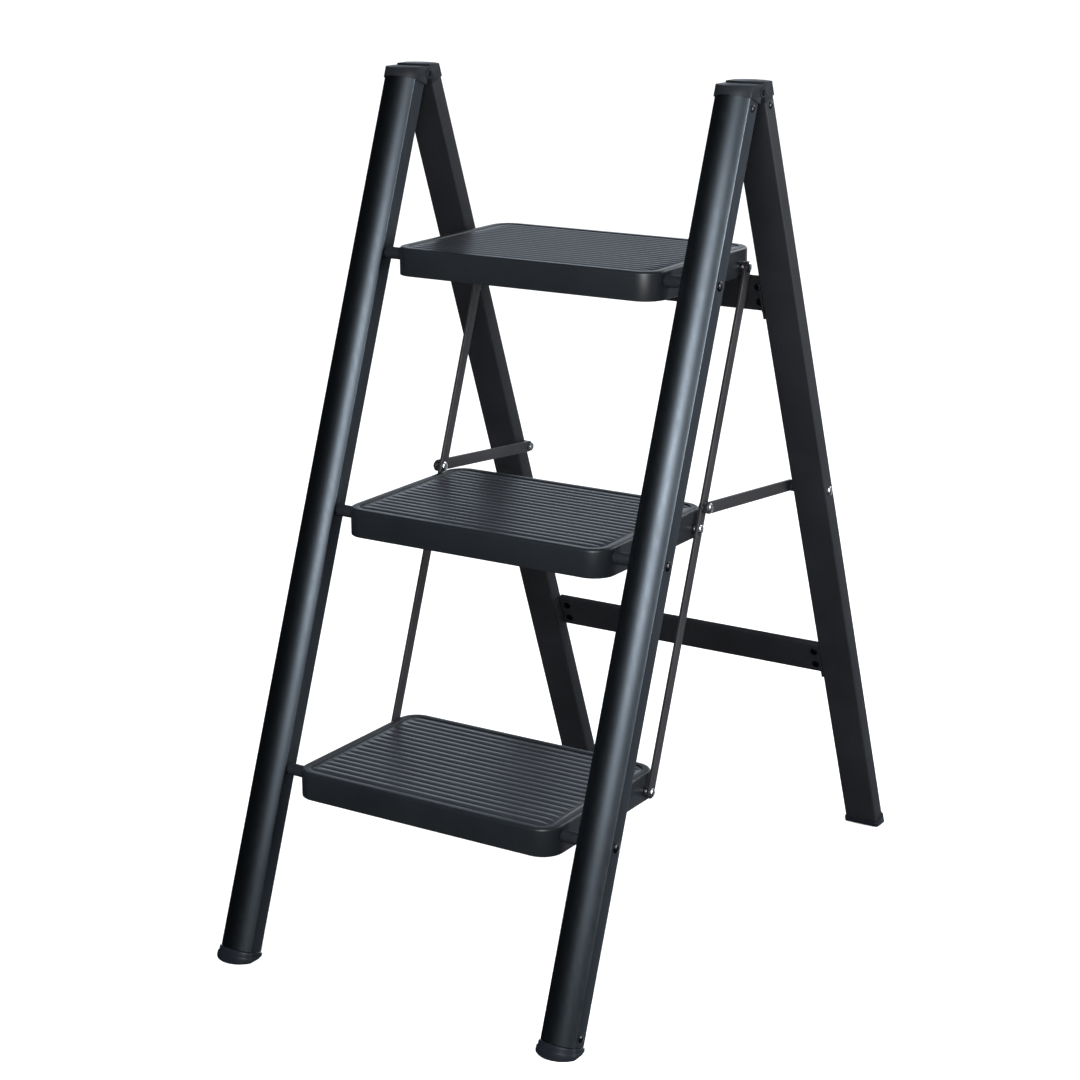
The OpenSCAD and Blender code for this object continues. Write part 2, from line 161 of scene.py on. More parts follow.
def d_ring(section, grow=0.0, corner=0.0016):
    """The D outline on its bench, as points (x, y), grown outwards by grow."""
    half = section["width"] / 2
    bulge = section["depth"] - section["side"]
    radius = (half * half + bulge * bulge) / (2 * bulge)
    centre = section["depth"] - radius
    edge = half + grow
    reach = math.asin(edge / (radius + grow))
    arc = []
    for i in range(ARC_STEPS + 1):
        angle = reach - 2 * reach * i / ARC_STEPS
        arc.append(Vector(((radius + grow) * math.sin(angle), centre + (radius + grow) * math.cos(angle))))
    back_left = Vector((-edge, -grow))
    back_right = Vector((edge, -grow))
    small = max(corner + grow, 0.0004)
    points = round_corner(arc[-1], back_left, back_right, small)
    points += round_corner(back_left, back_right, arc[0], small)
    points += round_corner(back_right, arc[0], arc[1], small)
    points += arc[1:-1]
    points += round_corner(arc[-2], arc[-1], back_left, small)
    return [Vector((section["x"] + p.x, section["flat"] + section["way"] * p.y)) for p in points]


stile_section = section_of("stile_right", stile_low, stile_high, front, -1)
leg_section = section_of("leg_right", leg_low, leg_high, rear, 1)
print("D sections", {k: round(v, 4) for k, v in stile_section.items()},
      {k: round(v, 4) for k, v in leg_section.items()})

# %% [markdown]
# ## Building node trees in a few words
# Geometry and material trees are both rows of nodes joined by wires. This helper adds one node, sets
# its choices, and plugs either a wire or a plain value into each input that is named.

# %% Helpers for both kinds of tree
def put(tree, kind, inputs=None, **choices):
    """Adds one node to a tree and returns it."""
    node = tree.nodes.new(kind)
    for name, value in choices.items():
        setattr(node, name, value)
    for name, value in (inputs or {}).items():
        plugs = value if isinstance(value, list) else [value]
        for plug in plugs:
            if isinstance(plug, bpy.types.NodeSocket):
                tree.links.new(plug, node.inputs[name])
            else:
                node.inputs[name].default_value = plug
    return node


def maths(tree, operation, *numbers, **choices):
    """One sum in a tree."""
    return put(tree, "ShaderNodeMath", dict(enumerate(numbers)), operation=operation, **choices).outputs[0]


def vector_of(tree, **axes):
    """Numbers for X, Y and Z as one vector; an axis that isn't named is 0."""
    return put(tree, "ShaderNodeCombineXYZ", axes).outputs[0]


def ramp(tree, value, start, end, low, high, **choices):
    """Turns start..end into low..high."""
    return put(tree, "ShaderNodeMapRange", {
        "Value": value, "From Min": start, "From Max": end, "To Min": low, "To Max": high},
        **choices).outputs["Result"]


def shifted(tree, geometry, offset):
    """Geometry moved by a vector."""
    return put(tree, "GeometryNodeTransform", {"Geometry": geometry, "Translation": offset}).outputs[0]


def position(tree):
    """The X, Y and Z of every point."""
    return put(tree, "ShaderNodeSeparateXYZ", {
        "Vector": put(tree, "GeometryNodeInputPosition").outputs[0]}).outputs


print("helpers for trees are ready")

# %% [markdown]
# ## Finishes
# Nine finishes cover the ladder. Each one starts from the same shader and adds what that finish shows
# close up: colour that drifts a little, gloss that varies, and a fine relief. Patterns are laid out
# in Object coordinates, so they stay on the metal when a piece moves. Steady numbers go straight on
# the shader.

# %% What every finish shares
def start_finish(name, metallic=0.0, specular=0.5):
    """A material with its shader, and the place on the object that its patterns read."""
    finish = bpy.data.materials.new(name)
    finish.use_nodes = True
    tree = finish.node_tree
    shader = tree.nodes["Principled BSDF"]
    shader.inputs["Metallic"].default_value = metallic
    shader.inputs["Specular IOR Level"].default_value = specular
    return finish, tree, shader, put(tree, "ShaderNodeTexCoord").outputs["Object"]


def noise(tree, where, scale, detail=3.0, roughness=0.5):
    """Cloudy pattern, the same in every run."""
    return put(tree, "ShaderNodeTexNoise", {
        "Vector": where, "Scale": scale, "Detail": detail, "Roughness": roughness}).outputs["Fac"]


def pits(tree, where, scale, output):
    """A pattern of small cells."""
    return put(tree, "ShaderNodeTexVoronoi", {"Vector": where, "Scale": scale}).outputs[output]


def spread(tree, value, low, high):
    """Turns the middle of a cloudy pattern into low..high."""
    return ramp(tree, value, 0.3, 0.7, low, high)


def between(tree, share, dark, light):
    """A colour that moves from dark to light with a pattern."""
    mix = put(tree, "ShaderNodeMix", {0: share}, data_type="RGBA")
    mix.inputs[6].default_value = (*dark, 1)
    mix.inputs[7].default_value = (*light, 1)
    return mix.outputs[2]


def dress(tree, shader, share, dark, light, gloss, height, strength, depth):
    """Colour from dark to light, a gloss pattern, and a bump of a real depth in metres."""
    colour = between(tree, share, dark, light)
    bump = put(tree, "ShaderNodeBump", {"Height": height, "Strength": strength, "Distance": depth})
    for plug, name in ((colour, "Base Color"), (gloss, "Roughness"), (bump.outputs["Normal"], "Normal")):
        tree.links.new(plug, shader.inputs[name])

# %% [markdown]
# The stiles are drawn aluminium under a satin blue-black coat. Drawing leaves very faint lines along
# the tube, and the coat keeps them as long streaks in the gloss.

# %% Stile coat
DRAWN_GRAIN = (240, 240, 2.5)


def stile_coat():
    """Satin blue-black coat with the faint streaks of a drawn tube."""
    finish, tree, shader, where = start_finish("stile_coat", metallic=1.0)
    along = put(tree, "ShaderNodeMapping", {
        "Vector": where, "Rotation": (-stile_lean, 0, 0), "Scale": DRAWN_GRAIN}).outputs["Vector"]
    streaks = noise(tree, along, 1.0, 4.0, 0.6)
    drift = noise(tree, where, 9.0, 2.0)
    grain = noise(tree, where, 1500.0, 2.0)
    dress(tree, shader, spread(tree, drift, 0, 1), (0.064, 0.076, 0.090), (0.076, 0.090, 0.105),
          spread(tree, streaks, 0.41, 0.47), grain, 0.08, 0.00008)
    return finish

# %% [markdown]
# The legs, crossbars and brackets are powder coated steel. Powder melts into a very fine orange peel,
# so the gloss is broad and the surface looks soft and dark.

# %% Powder coats
def powder_coat(name, dark, light, gloss, peel):
    """A powder coat: peel is the size of its orange peel, as ripples to the metre."""
    finish, tree, shader, where = start_finish(name, specular=0.42)
    ripple = noise(tree, where, peel, 3.0, 0.55)
    drift = noise(tree, where, 14.0, 2.0)
    dress(tree, shader, spread(tree, drift, 0, 1), dark, light, spread(tree, ripple, *gloss),
          ripple, 0.25, 0.0002)
    return finish

# %% [markdown]
# Caps, spacers, bushes and feet are moulded plastic. The mould is spark eroded, which leaves a grain
# of tiny pits, and the feet are a softer grade that is duller still.

# %% Moulded plastic
def moulded_plastic(name, dark, light, gloss):
    """Black plastic from a grained mould."""
    finish, tree, shader, where = start_finish(name, specular=0.15)
    grain = pits(tree, where, 1800.0, "Distance")
    cloud = noise(tree, where, 60.0, 3.0)
    dress(tree, shader, spread(tree, cloud, 0, 1), dark, light, spread(tree, cloud, *gloss),
          grain, 0.2, 0.00012)
    return finish

# %% [markdown]
# Rivets and bolts are zinc plated. Zinc settles in faint crystals, so its gloss changes from patch to
# patch, and a chromate dip tints it slightly. The screws are the same steel with a black oxide.

# %% Plated steel
def plated_steel(name, dark, light, gloss):
    """Plated fasteners: bright or dark metal with small crystals and turning marks."""
    finish, tree, shader, where = start_finish(name, metallic=1.0)
    crystals = pits(tree, where, 650.0, "Color")
    shade = put(tree, "ShaderNodeSeparateColor", {"Color": crystals}).outputs["Red"]
    marks = noise(tree, where, 2600.0, 3.0, 0.6)
    dress(tree, shader, shade, dark, light, ramp(tree, shade, 0, 1, *gloss), marks, 0.1, 0.00008)
    return finish

# %% [markdown]
# The mats are ribbed PVC. Soft PVC is matt, with a fine leathery grain and a bloom that greys it a
# little in soft patches.

# %% Mat
def mat_vinyl():
    """Soft ribbed vinyl, dull and finely grained."""
    finish, tree, shader, where = start_finish("mat_vinyl", specular=0.75)
    grain = noise(tree, where, 900.0, 4.0, 0.6)
    bloom = noise(tree, where, 25.0, 3.0)
    dress(tree, shader, spread(tree, bloom, 0, 1), (0.012, 0.0135, 0.0165), (0.016, 0.018, 0.022),
          spread(tree, grain, 0.32, 0.40), grain, 0.06, 0.0001)
    return finish

# %% [markdown]
# The ladder is black all over, and still no two blacks on it are alike: the stiles lean to blue, the
# legs are dull and deep, and the treads are a little glossier. The colours below are that difference.

# %% Make the nine finishes
finishes = {
    "anodised_stile": stile_coat(),
    "black_leg": powder_coat(
        "leg_powder", (0.0055, 0.0062, 0.0085), (0.0082, 0.0090, 0.0118), (0.46, 0.60), 700.0),
    "tread_enamel": powder_coat(
        "tread_powder", (0.0052, 0.0066, 0.0086), (0.0072, 0.0088, 0.0110), (0.34, 0.44), 1100.0),
    "black_bar": powder_coat(
        "bar_powder", (0.012, 0.012, 0.014), (0.018, 0.018, 0.020), (0.40, 0.52), 1000.0),
    "black_plastic": moulded_plastic(
        "cap_plastic", (0.008, 0.0092, 0.0115), (0.011, 0.0126, 0.0155), (0.38, 0.48)),
    "foot_plastic": moulded_plastic(
        "foot_plastic", (0.0050, 0.0066, 0.0092), (0.0072, 0.0092, 0.0126), (0.30, 0.40)),
    "black_screw": plated_steel(
        "black_oxide", (0.030, 0.030, 0.034), (0.065, 0.065, 0.072), (0.26, 0.40)),
    "zinc": plated_steel("zinc_plate", (0.60, 0.62, 0.64), (0.80, 0.81, 0.82), (0.20, 0.34)),
    "mat_rubber": mat_vinyl(),
}
print("finishes", sorted(finishes))

# %% [markdown]
# ## From points to a finished piece
# Most plastic and sheet parts are skins over a row of rings: the same outline, again and again, a
# little larger, smaller or further on. `loft` skins the rings, and `finish_piece` puts the mesh in
# its place, marks the hard edges and says which body carries it.

# %% Loft, place and hand over
def loft(rings):
    """Skins a row of rings that all have the same number of points, and closes both ends."""
    shell = bmesh.new()
    loops = [[shell.verts.new(p) for p in ring] for ring in rings]
    count = len(loops[0])
    for low, high in zip(loops, loops[1:]):
        for i in range(count):
            j = (i + 1) % count
            shell.faces.new((low[i], low[j], high[j], high[i]))
    shell.faces.new(loops[0])
    shell.faces.new(loops[-1])
    return shell


def join(shells):
    """Several shells as one."""
    whole = bmesh.new()
    for shell in shells:
        part = bpy.data.meshes.new("part")
        shell.to_mesh(part)
        shell.free()
        whole.from_mesh(part)
        bpy.data.meshes.remove(part)
    return whole


def to_mesh(shell, name, place=Matrix(), mirror=False):
    """Turns a shell into a mesh in its place, with every face pointing outwards."""
    if mirror:
        place = Matrix.Scale(-1, 4, (1, 0, 0)) @ place
    shell.transform(place)
    bmesh.ops.remove_doubles(shell, verts=shell.verts, dist=1e-6)
    bmesh.ops.recalc_face_normals(shell, faces=shell.faces)
    mesh = bpy.data.meshes.new(name)
    shell.to_mesh(mesh)
    shell.free()
    return mesh


def finish_piece(name, mesh, slot, body, nodes, hard_edge=38):
    """Shows a mesh as one piece: its finish, its hard edges, its body and the nodes it stands for."""
    mesh.materials.clear()
    mesh.materials.append(finishes[slot])
    mesh.shade_smooth()
    mesh.set_sharp_from_angle(angle=math.radians(hard_edge))
    piece = bpy.data.objects.new(name, mesh)
    bpy.context.scene.collection.objects.link(piece)
    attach(piece, body)
    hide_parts(*nodes)
    return piece


SIDES = (("left", True), ("right", False))

# %% [markdown]
# ## Growing a mesh from a tree
# A geometry tree works on a plain base: a ring of edges, or a handful of points. The modifier's sizes
# are set by each socket's identifier before the result is first worked out, and what comes out is
# kept as one plain mesh.

# %% Start a tree and run it
def start_tree(name, sizes):
    """A geometry tree with one named input for each size."""
    tree = bpy.data.node_groups.new(name, "GeometryNodeTree")
    tree.interface.new_socket("Geometry", in_out="INPUT", socket_type="NodeSocketGeometry")
    tree.interface.new_socket("Geometry", in_out="OUTPUT", socket_type="NodeSocketGeometry")
    for label, kind in sizes.items():
        tree.interface.new_socket(label, in_out="INPUT", socket_type="NodeSocket" + kind)
    return tree, tree.nodes.new("NodeGroupInput").outputs


def end_tree(tree, geometry, finish):
    """Ends a tree in real geometry that carries its finish."""
    real = put(tree, "GeometryNodeRealizeInstances", {"Geometry": geometry}).outputs[0]
    painted = put(tree, "GeometryNodeSetMaterial", {"Geometry": real, "Material": finish}).outputs[0]
    tree.links.new(painted, tree.nodes.new("NodeGroupOutput").inputs["Geometry"])


def run_tree(tree, base, sizes):
    """Runs a tree on a base mesh and returns the plain mesh that it makes."""
    holder = bpy.data.objects.new("holder", base)
    bpy.context.scene.collection.objects.link(holder)
    modifier = holder.modifiers.new("tree", "NODES")
    modifier.node_group = tree
    for item in tree.interface.items_tree:
        if item.item_type == "SOCKET" and item.in_out == "INPUT" and item.name in sizes:
            modifier[item.identifier] = sizes[item.name]
    bpy.context.view_layer.update()
    graph = bpy.context.evaluated_depsgraph_get()
    mesh = bpy.data.meshes.new_from_object(holder.evaluated_get(graph), depsgraph=graph)
    bpy.data.objects.remove(holder)
    return mesh


# %% [markdown]
# ## Stiles and legs
# A drawn tube is one outline pulled through a length, so the tree does the same: it fills the ring
# between the outer and the inner D, draws it up the bench, and closes the lower end. The same tree
# serves the four tubes; only the outline and the two lengths change.

# %% The tree that draws a tube
tube_tree, tube = start_tree("drawn_tube", {"Bottom": "Float", "Top": "Float", "Finish": "Material"})
ring_curve = put(tube_tree, "GeometryNodeMeshToCurve", {"Mesh": tube["Geometry"]}).outputs["Curve"]
wall_face = put(tube_tree, "GeometryNodeFillCurve", {"Curve": ring_curve}).outputs["Mesh"]
low_face = shifted(tube_tree, wall_face, vector_of(tube_tree, Z=tube["Bottom"]))
pull = vector_of(tube_tree, Z=maths(tube_tree, "SUBTRACT", tube["Top"], tube["Bottom"]))
drawn = put(tube_tree, "GeometryNodeExtrudeMesh", {
    "Mesh": low_face, "Offset": pull, "Offset Scale": 1.0, "Individual": False}).outputs["Mesh"]
closing = put(tube_tree, "GeometryNodeFlipFaces", {"Mesh": low_face}).outputs[0]
closed = put(tube_tree, "GeometryNodeJoinGeometry", {"Geometry": [closing, drawn]}).outputs[0]
welded = put(tube_tree, "GeometryNodeMergeByDistance", {"Geometry": closed, "Distance": 1e-6}).outputs[0]
end_tree(tube_tree, welded, tube["Finish"])


def draw_tube(section, wall, bottom, top, finish):
    """A tube on its bench, closed at both ends around its wall."""
    base = bmesh.new()
    for ring in (d_ring(section), d_ring(section, -wall)):
        points = [base.verts.new((p.x, p.y, 0)) for p in ring]
        for a, b in zip(points, points[1:] + points[:1]):
            base.edges.new((a, b))
    outline = bpy.data.meshes.new("outline")
    base.to_mesh(outline)
    base.free()
    return run_tree(tube_tree, outline, {"Bottom": bottom, "Top": top, "Finish": finish})


print("tube tree", len(tube_tree.nodes), "nodes")

# %% [markdown]
# Each tube is drawn on its upright bench at its true length, then leant into place. The left one is the
# right one mirrored, so the normals are worked out again after the mirror.

# %% Draw the four tubes
TUBE_WALL = 0.0018


def show_tube(name, body, section, place, low, high, slot):
    """Draws one pair of tubes, left and right."""
    for side, mirror in SIDES:
        mesh = draw_tube(section, TUBE_WALL, low.z, high.z, finishes[slot])
        shell = bmesh.new()
        shell.from_mesh(mesh)
        made = to_mesh(shell, f"{name}_{side}_tube", place, mirror)
        finish_piece(f"{name}_{side}_tube", made, slot, body, [f"{name}_{side}"])
        print(name, side, "length", round(high.z - low.z, 4), "faces", len(made.polygons))


show_tube("stile", "front_frame", stile_section, front, stile_low, stile_high, "anodised_stile")
show_tube("leg", "rear_frame", leg_section, rear, leg_low, leg_high, "black_leg")

# %% [markdown]
# ## Treads
# A tread is pressed from one sheet: a flat deck with a shallow recess for its mat, a rounded edge all
# round, and a skirt whose lower lip is turned smooth. Seen in section that is one line, so the
# tread is lofted from rounded rectangles that follow the line from the recess, over the edge, down
# the skirt and back up inside.

# %% The line of a pressed tread, and its rounded rectangles
TREAD_SHEET = 0.0012
DECK_OVERLAP = 0.0012
RECESS_LIP = 0.0008
TREAD_CORNER = 0.022
EDGE_RADIUS = 0.0028
TREAD_STEPS = 10


def rounded_rectangle(width, depth, radius, z, centre):
    """A ring of points with four round corners."""
    radius = max(radius, 0.0008)
    ring = []
    for quarter in range(4):
        turn = math.pi / 2 * quarter
        cx = (width / 2 - radius) * (1 if quarter in (0, 3) else -1)
        cy = (depth / 2 - radius) * (1 if quarter in (0, 1) else -1)
        for i in range(TREAD_STEPS + 1):
            angle = turn + math.pi / 2 * i / TREAD_STEPS
            ring.append(Vector((centre.x + cx + radius * math.cos(angle),
                                centre.y + cy + radius * math.sin(angle), z)))
    return ring


def arc_profile(centre, radius, start, end, steps=5):
    """Points (inset, height) on an arc, angles in degrees from the outward direction."""
    angles = [math.radians(start + (end - start) * i / steps) for i in range(steps + 1)]
    return [(centre[0] - radius * math.cos(a), centre[1] + radius * math.sin(a)) for a in angles]


def tread_profile(border, recess, height):
    """The section line of a tread, as (inset from the skirt, height below the deck)."""
    inner = EDGE_RADIUS - TREAD_SHEET
    line = [(border + DECK_OVERLAP, -recess), (border, -recess)]
    line += [(border - p[0], p[1]) for p in arc_profile((RECESS_LIP, -RECESS_LIP), RECESS_LIP, 0, 90, 3)]
    line += [(border * 0.5, 0.0)]
    line += arc_profile((EDGE_RADIUS, -EDGE_RADIUS), EDGE_RADIUS, 90, 0)
    line += arc_profile((TREAD_SHEET / 2, -height + TREAD_SHEET / 2), TREAD_SHEET / 2, 0, -180, 6)
    line += arc_profile((EDGE_RADIUS, -recess - EDGE_RADIUS), inner, 0, 90)
    line += [(border + DECK_OVERLAP, -recess - TREAD_SHEET)]
    return line


# %% [markdown]
# The border of the deck and the depth of its recess come from the boxes of a tread and its mat.

# %% Press the three treads
def tread_shell(k):
    """One tread as a closed shell of sheet metal."""
    low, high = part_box(f"tread_{k}")
    mat_low, mat_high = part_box(f"mat_{k}")
    centre = (low + high) / 2
    border = high.x - mat_high.x
    recess = high.z - mat_low.z
    line = tread_profile(border, recess, high.z - low.z)
    rings = []
    for inset, depth in line:
        rings.append(rounded_rectangle(high.x - low.x - 2 * inset, high.y - low.y - 2 * inset,
                                       TREAD_CORNER - inset, high.z + depth, centre))
    print(f"tread {k}", "border", round(border, 4), "recess", round(recess, 4), "rings", len(rings))
    return loft(rings)


for k in (1, 2, 3):
    pressed = to_mesh(tread_shell(k), f"tread_{k}_pressing")
    finish_piece(f"tread_{k}_pressing", pressed, "tread_enamel", f"step_{k}", [f"tread_{k}"])

# %% [markdown]
# ## Ribbed mats
# Each mat is a thin sheet with a row of low ribs across it, so that a shoe doesn't slide forwards.
# The ribs repeat, which is work for a tree: one rib is a soft bar that dies away at both ends,
# and it is set down again and again along the depth of the tread.

# %% The tree that ribs a mat
RIB_FADE = {"start": 0.93, "end": 1.0, "low": 1.0, "high": 0.12}
mat_tree, mat = start_tree("ribbed_mat", {
    "Rib Length": "Float", "Rib Width": "Float", "Rib Height": "Float", "Rib Count": "Int",
    "First Rib": "Vector", "Rib Pitch": "Float", "Finish": "Material"})
half_length = maths(mat_tree, "MULTIPLY", mat["Rib Length"], 0.5)
other_half = maths(mat_tree, "MULTIPLY", half_length, -1.0)
rib_line = put(mat_tree, "GeometryNodeCurvePrimitiveLine", {
    "Start": vector_of(mat_tree, X=other_half), "End": vector_of(mat_tree, X=half_length)}).outputs[0]
rib_path = put(mat_tree, "GeometryNodeResampleCurve", {"Curve": rib_line, "Count": 49}).outputs[0]
along_rib = put(mat_tree, "GeometryNodeSplineParameter").outputs["Factor"]
aside = maths(mat_tree, "ABSOLUTE", ramp(mat_tree, along_rib, 0.0, 1.0, -1.0, 1.0))
fade = ramp(mat_tree, aside, **RIB_FADE, interpolation_type="SMOOTHSTEP")
circle = put(mat_tree, "GeometryNodeCurvePrimitiveCircle", {"Resolution": 20, "Radius": 1.0}).outputs[0]
round_spot = position(mat_tree)
bowed = maths(mat_tree, "MULTIPLY", round_spot["Y"], maths(mat_tree, "ABSOLUTE", round_spot["Y"]))
round_bar = put(mat_tree, "GeometryNodeSetPosition", {
    "Geometry": circle, "Position": vector_of(mat_tree, X=round_spot["X"], Y=bowed)}).outputs[0]
bar_size = vector_of(mat_tree, X=mat["Rib Width"], Y=mat["Rib Height"], Z=1.0)
flat_profile = put(mat_tree, "GeometryNodeTransform", {"Geometry": round_bar, "Scale": bar_size}).outputs[0]
rib_radius = put(mat_tree, "GeometryNodeSetCurveRadius", {"Curve": rib_path, "Radius": fade}).outputs[0]
one_rib = put(mat_tree, "GeometryNodeCurveToMesh", {
    "Curve": rib_radius, "Profile Curve": flat_profile, "Scale": fade, "Fill Caps": True}).outputs[0]
rib_row = put(mat_tree, "GeometryNodeMeshLine", {
    "Count": mat["Rib Count"], "Start Location": mat["First Rib"],
    "Offset": vector_of(mat_tree, Y=mat["Rib Pitch"])}).outputs[0]
ribs = put(mat_tree, "GeometryNodeInstanceOnPoints", {"Points": rib_row, "Instance": one_rib}).outputs[0]
ribbed = put(mat_tree, "GeometryNodeJoinGeometry", {"Geometry": [mat["Geometry"], ribs]}).outputs[0]
end_tree(mat_tree, ribbed, mat["Finish"])
print("mat tree", len(mat_tree.nodes), "nodes")

# %% [markdown]
# The sheet of a mat fills the recess of its tread, with a softened edge. The ribs stand on it side by
# side, with narrow valleys between them.

# %% Lay the three mats
RIB_COUNT = 18
RIB_HEIGHT = 0.0008
RIB_SHARE = 0.49
MAT_MARGIN = 0.003
MAT_EDGE = 0.0004


def lay_mat(k):
    """A thin sheet in the recess of a tread, with its ribs."""
    low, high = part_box(f"mat_{k}")
    centre = (low + high) / 2
    sheet_top = high.z - RIB_HEIGHT
    width = high.x - low.x
    depth = high.y - low.y
    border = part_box(f"tread_{k}")[1].x - high.x
    corner = TREAD_CORNER - border
    rings = [rounded_rectangle(width - 2 * i, depth - 2 * i, corner - i, z, centre)
             for i, z in ((MAT_EDGE, low.z), (0, low.z + MAT_EDGE), (0, sheet_top - MAT_EDGE),
                          (MAT_EDGE, sheet_top))]
    sheet = to_mesh(loft(rings), "sheet")
    pitch = (depth - 2 * MAT_MARGIN) / RIB_COUNT
    first = (0, low.y + MAT_MARGIN + pitch / 2, sheet_top)
    mesh = run_tree(mat_tree, sheet, {
        "Rib Length": width - 2 * MAT_MARGIN, "Rib Width": pitch * RIB_SHARE, "Rib Height": RIB_HEIGHT,
        "Rib Count": RIB_COUNT, "First Rib": first, "Rib Pitch": pitch, "Finish": finishes["mat_rubber"]})
    finish_piece(f"mat_{k}_ribbed", mesh, "mat_rubber", f"step_{k}", [f"mat_{k}"], 60)
    print(f"mat {k}", "ribs", RIB_COUNT, "pitch", round(pitch, 4), "faces", len(mesh.polygons))


for k in (1, 2, 3):
    lay_mat(k)

# %% [markdown]
# ## Bent sheet
# Stiffeners, crossbars and brackets are folded from flat strip. A fold is easiest to draw as the
# middle line of the sheet with rounded bends; the two faces then lie half a thickness to each
# side, and the bends come out with the right inner and outer radius by themselves.

# %% Fold a strip
def folded(path, sheet, bend, steps=5):
    """The closed outline of a folded strip, from the middle line of its sheet."""
    line = [path[0]]
    for before, corner, after in zip(path, path[1:], path[2:]):
        line += round_corner(before, corner, after, bend, steps)
    line.append(path[-1])
    sides = ([], [])
    for i, point in enumerate(line):
        ahead = (line[min(i + 1, len(line) - 1)] - line[max(i - 1, 0)]).normalized()
        aside = Vector((-ahead.y, ahead.x)) * sheet / 2
        sides[0].append(point + aside)
        sides[1].append(point - aside)
    return sides[0] + sides[1][::-1]


def draw_strip(outline, start, end, axes):
    """Draws a folded outline from start to end; axes says which axis each of its numbers is for."""
    rings = []
    for along in (start, end):
        ring = []
        for p in outline:
            point = Vector((along, along, along))
            point[axes[0]] = p.x
            point[axes[1]] = p.y
            ring.append(point)
        rings.append(ring)
    return loft(rings)


# %% [markdown]
# A hat-shaped strip is welded under each deck, where a foot presses hardest.

# %% Stiffeners under the treads
STIFFENER_FLANGE = 0.012
STIFFENER_BEND = 0.0016


def stiffener(k):
    """The hat channel across the underside of a tread."""
    low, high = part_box(f"stiffener_{k}")
    half = TREAD_SHEET / 2
    top = high.z - half
    bottom = low.z + half
    front_web = low.y + STIFFENER_FLANGE + half
    back_web = high.y - STIFFENER_FLANGE - half
    path = [(low.y, top), (front_web, top), (front_web, bottom), (back_web, bottom), (back_web, top),
            (high.y, top)]
    outline = folded([Vector(p) for p in path], TREAD_SHEET, STIFFENER_BEND)
    mesh = to_mesh(draw_strip(outline, low.x, high.x, (1, 2)), f"stiffener_{k}_hat")
    finish_piece(f"stiffener_{k}_hat", mesh, "tread_enamel", f"step_{k}", [f"stiffener_{k}"])
    print(f"stiffener {k}", [round(v, 4) for v in high - low])


for k in (1, 2, 3):
    stiffener(k)

# %% [markdown]
# Two channels tie the legs together, open to the back. Each end sits on an angle bracket, one leaf on
# the leg's inner side and the other behind the channel's face.

# %% Crossbars and their brackets
CHANNEL_SHEET = 0.0016
CHANNEL_BEND = 0.002
BRACKET_SHEET = 0.002
BRACKET_BEND = 0.0022
BRACKET_LEAF = 0.020
leg_inner = leg_low.x


def crossbar(which):
    """One channel, folded on the rear bench."""
    low, high = span(f"crossbar_{which}", rear)
    half = CHANNEL_SHEET / 2
    path = [(high.y, high.z - half), (low.y + half, high.z - half), (low.y + half, low.z + half),
            (high.y, low.z + half)]
    outline = folded([Vector(p) for p in path], CHANNEL_SHEET, CHANNEL_BEND)
    mesh = to_mesh(draw_strip(outline, low.x, high.x, (1, 2)), f"crossbar_{which}_channel", rear)
    finish_piece(f"crossbar_{which}_channel", mesh, "black_leg", "rear_frame", [f"crossbar_{which}"])
    print("crossbar", which, "length", round(high.x - low.x, 4))
    return low, high


def bracket(low, high):
    """An angle bracket at the right-hand end of a crossbar."""
    half = BRACKET_SHEET / 2
    back = low.y + CHANNEL_SHEET + half
    path = [(leg_inner - half, leg_low.y), (leg_inner - half, back), (leg_inner - BRACKET_LEAF, back)]
    outline = folded([Vector(p) for p in path], BRACKET_SHEET, BRACKET_BEND)
    return draw_strip(outline, low.z + CHANNEL_SHEET, high.z - CHANNEL_SHEET, (0, 1))


bars = {which: crossbar(which) for which in ("upper", "lower")}
brackets = []
for side, mirror in SIDES:
    for which in bars:
        angle = bracket(*bars[which])
        if mirror:
            angle.transform(Matrix.Scale(-1, 4, (1, 0, 0)))
        brackets.append(angle)
bracket_mesh = to_mesh(join(brackets), "crossbar_brackets_bent", rear)
finish_piece("crossbar_brackets_bent", bracket_mesh, "black_leg", "rear_frame", ["crossbar_brackets"])
print("brackets", len(brackets), "faces", len(bracket_mesh.polygons))

# %% [markdown]
# ## Link bars and struts
# These are flat bars with round ends, punched from strip. Punching leaves a softened edge, and it is
# this edge that shows as a thin light line along each bar.

# %% Punch a flat bar
BAR_EDGE = 0.0005
END_STEPS = 16


def bar_shell(x_low, x_high, width, length):
    """A flat bar with quarter-round edges, as one loft across its thickness."""
    rings = []
    quarter = [math.radians(30 * i) for i in range(4)]
    steps = [(x_low + BAR_EDGE * (1 - math.cos(a)), -BAR_EDGE * (1 - math.sin(a))) for a in quarter]
    steps += [(x_high - BAR_EDGE * (1 - math.cos(a)), -BAR_EDGE * (1 - math.sin(a))) for a in quarter[::-1]]
    for x, grow in steps:
        radius = width / 2 + grow
        ring = []
        for end, start in ((length, 0.0), (0.0, math.pi)):
            for i in range(END_STEPS + 1):
                angle = start + math.pi * i / END_STEPS
                ring.append(Vector((x, radius * math.cos(angle), end + radius * math.sin(angle))))
        rings.append(ring)
    return loft(rings)


def bar_bench(foot, lean):
    """A bench that stands on foot and leans by lean."""
    return Matrix.Translation(foot) @ Matrix.Rotation(-lean, 4, "X")


def middle_of(node):
    """The middle of a node's box, on the ladder's middle plane."""
    low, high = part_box(node)
    return Vector((0, (low.y + high.y) / 2, (low.z + high.z) / 2))


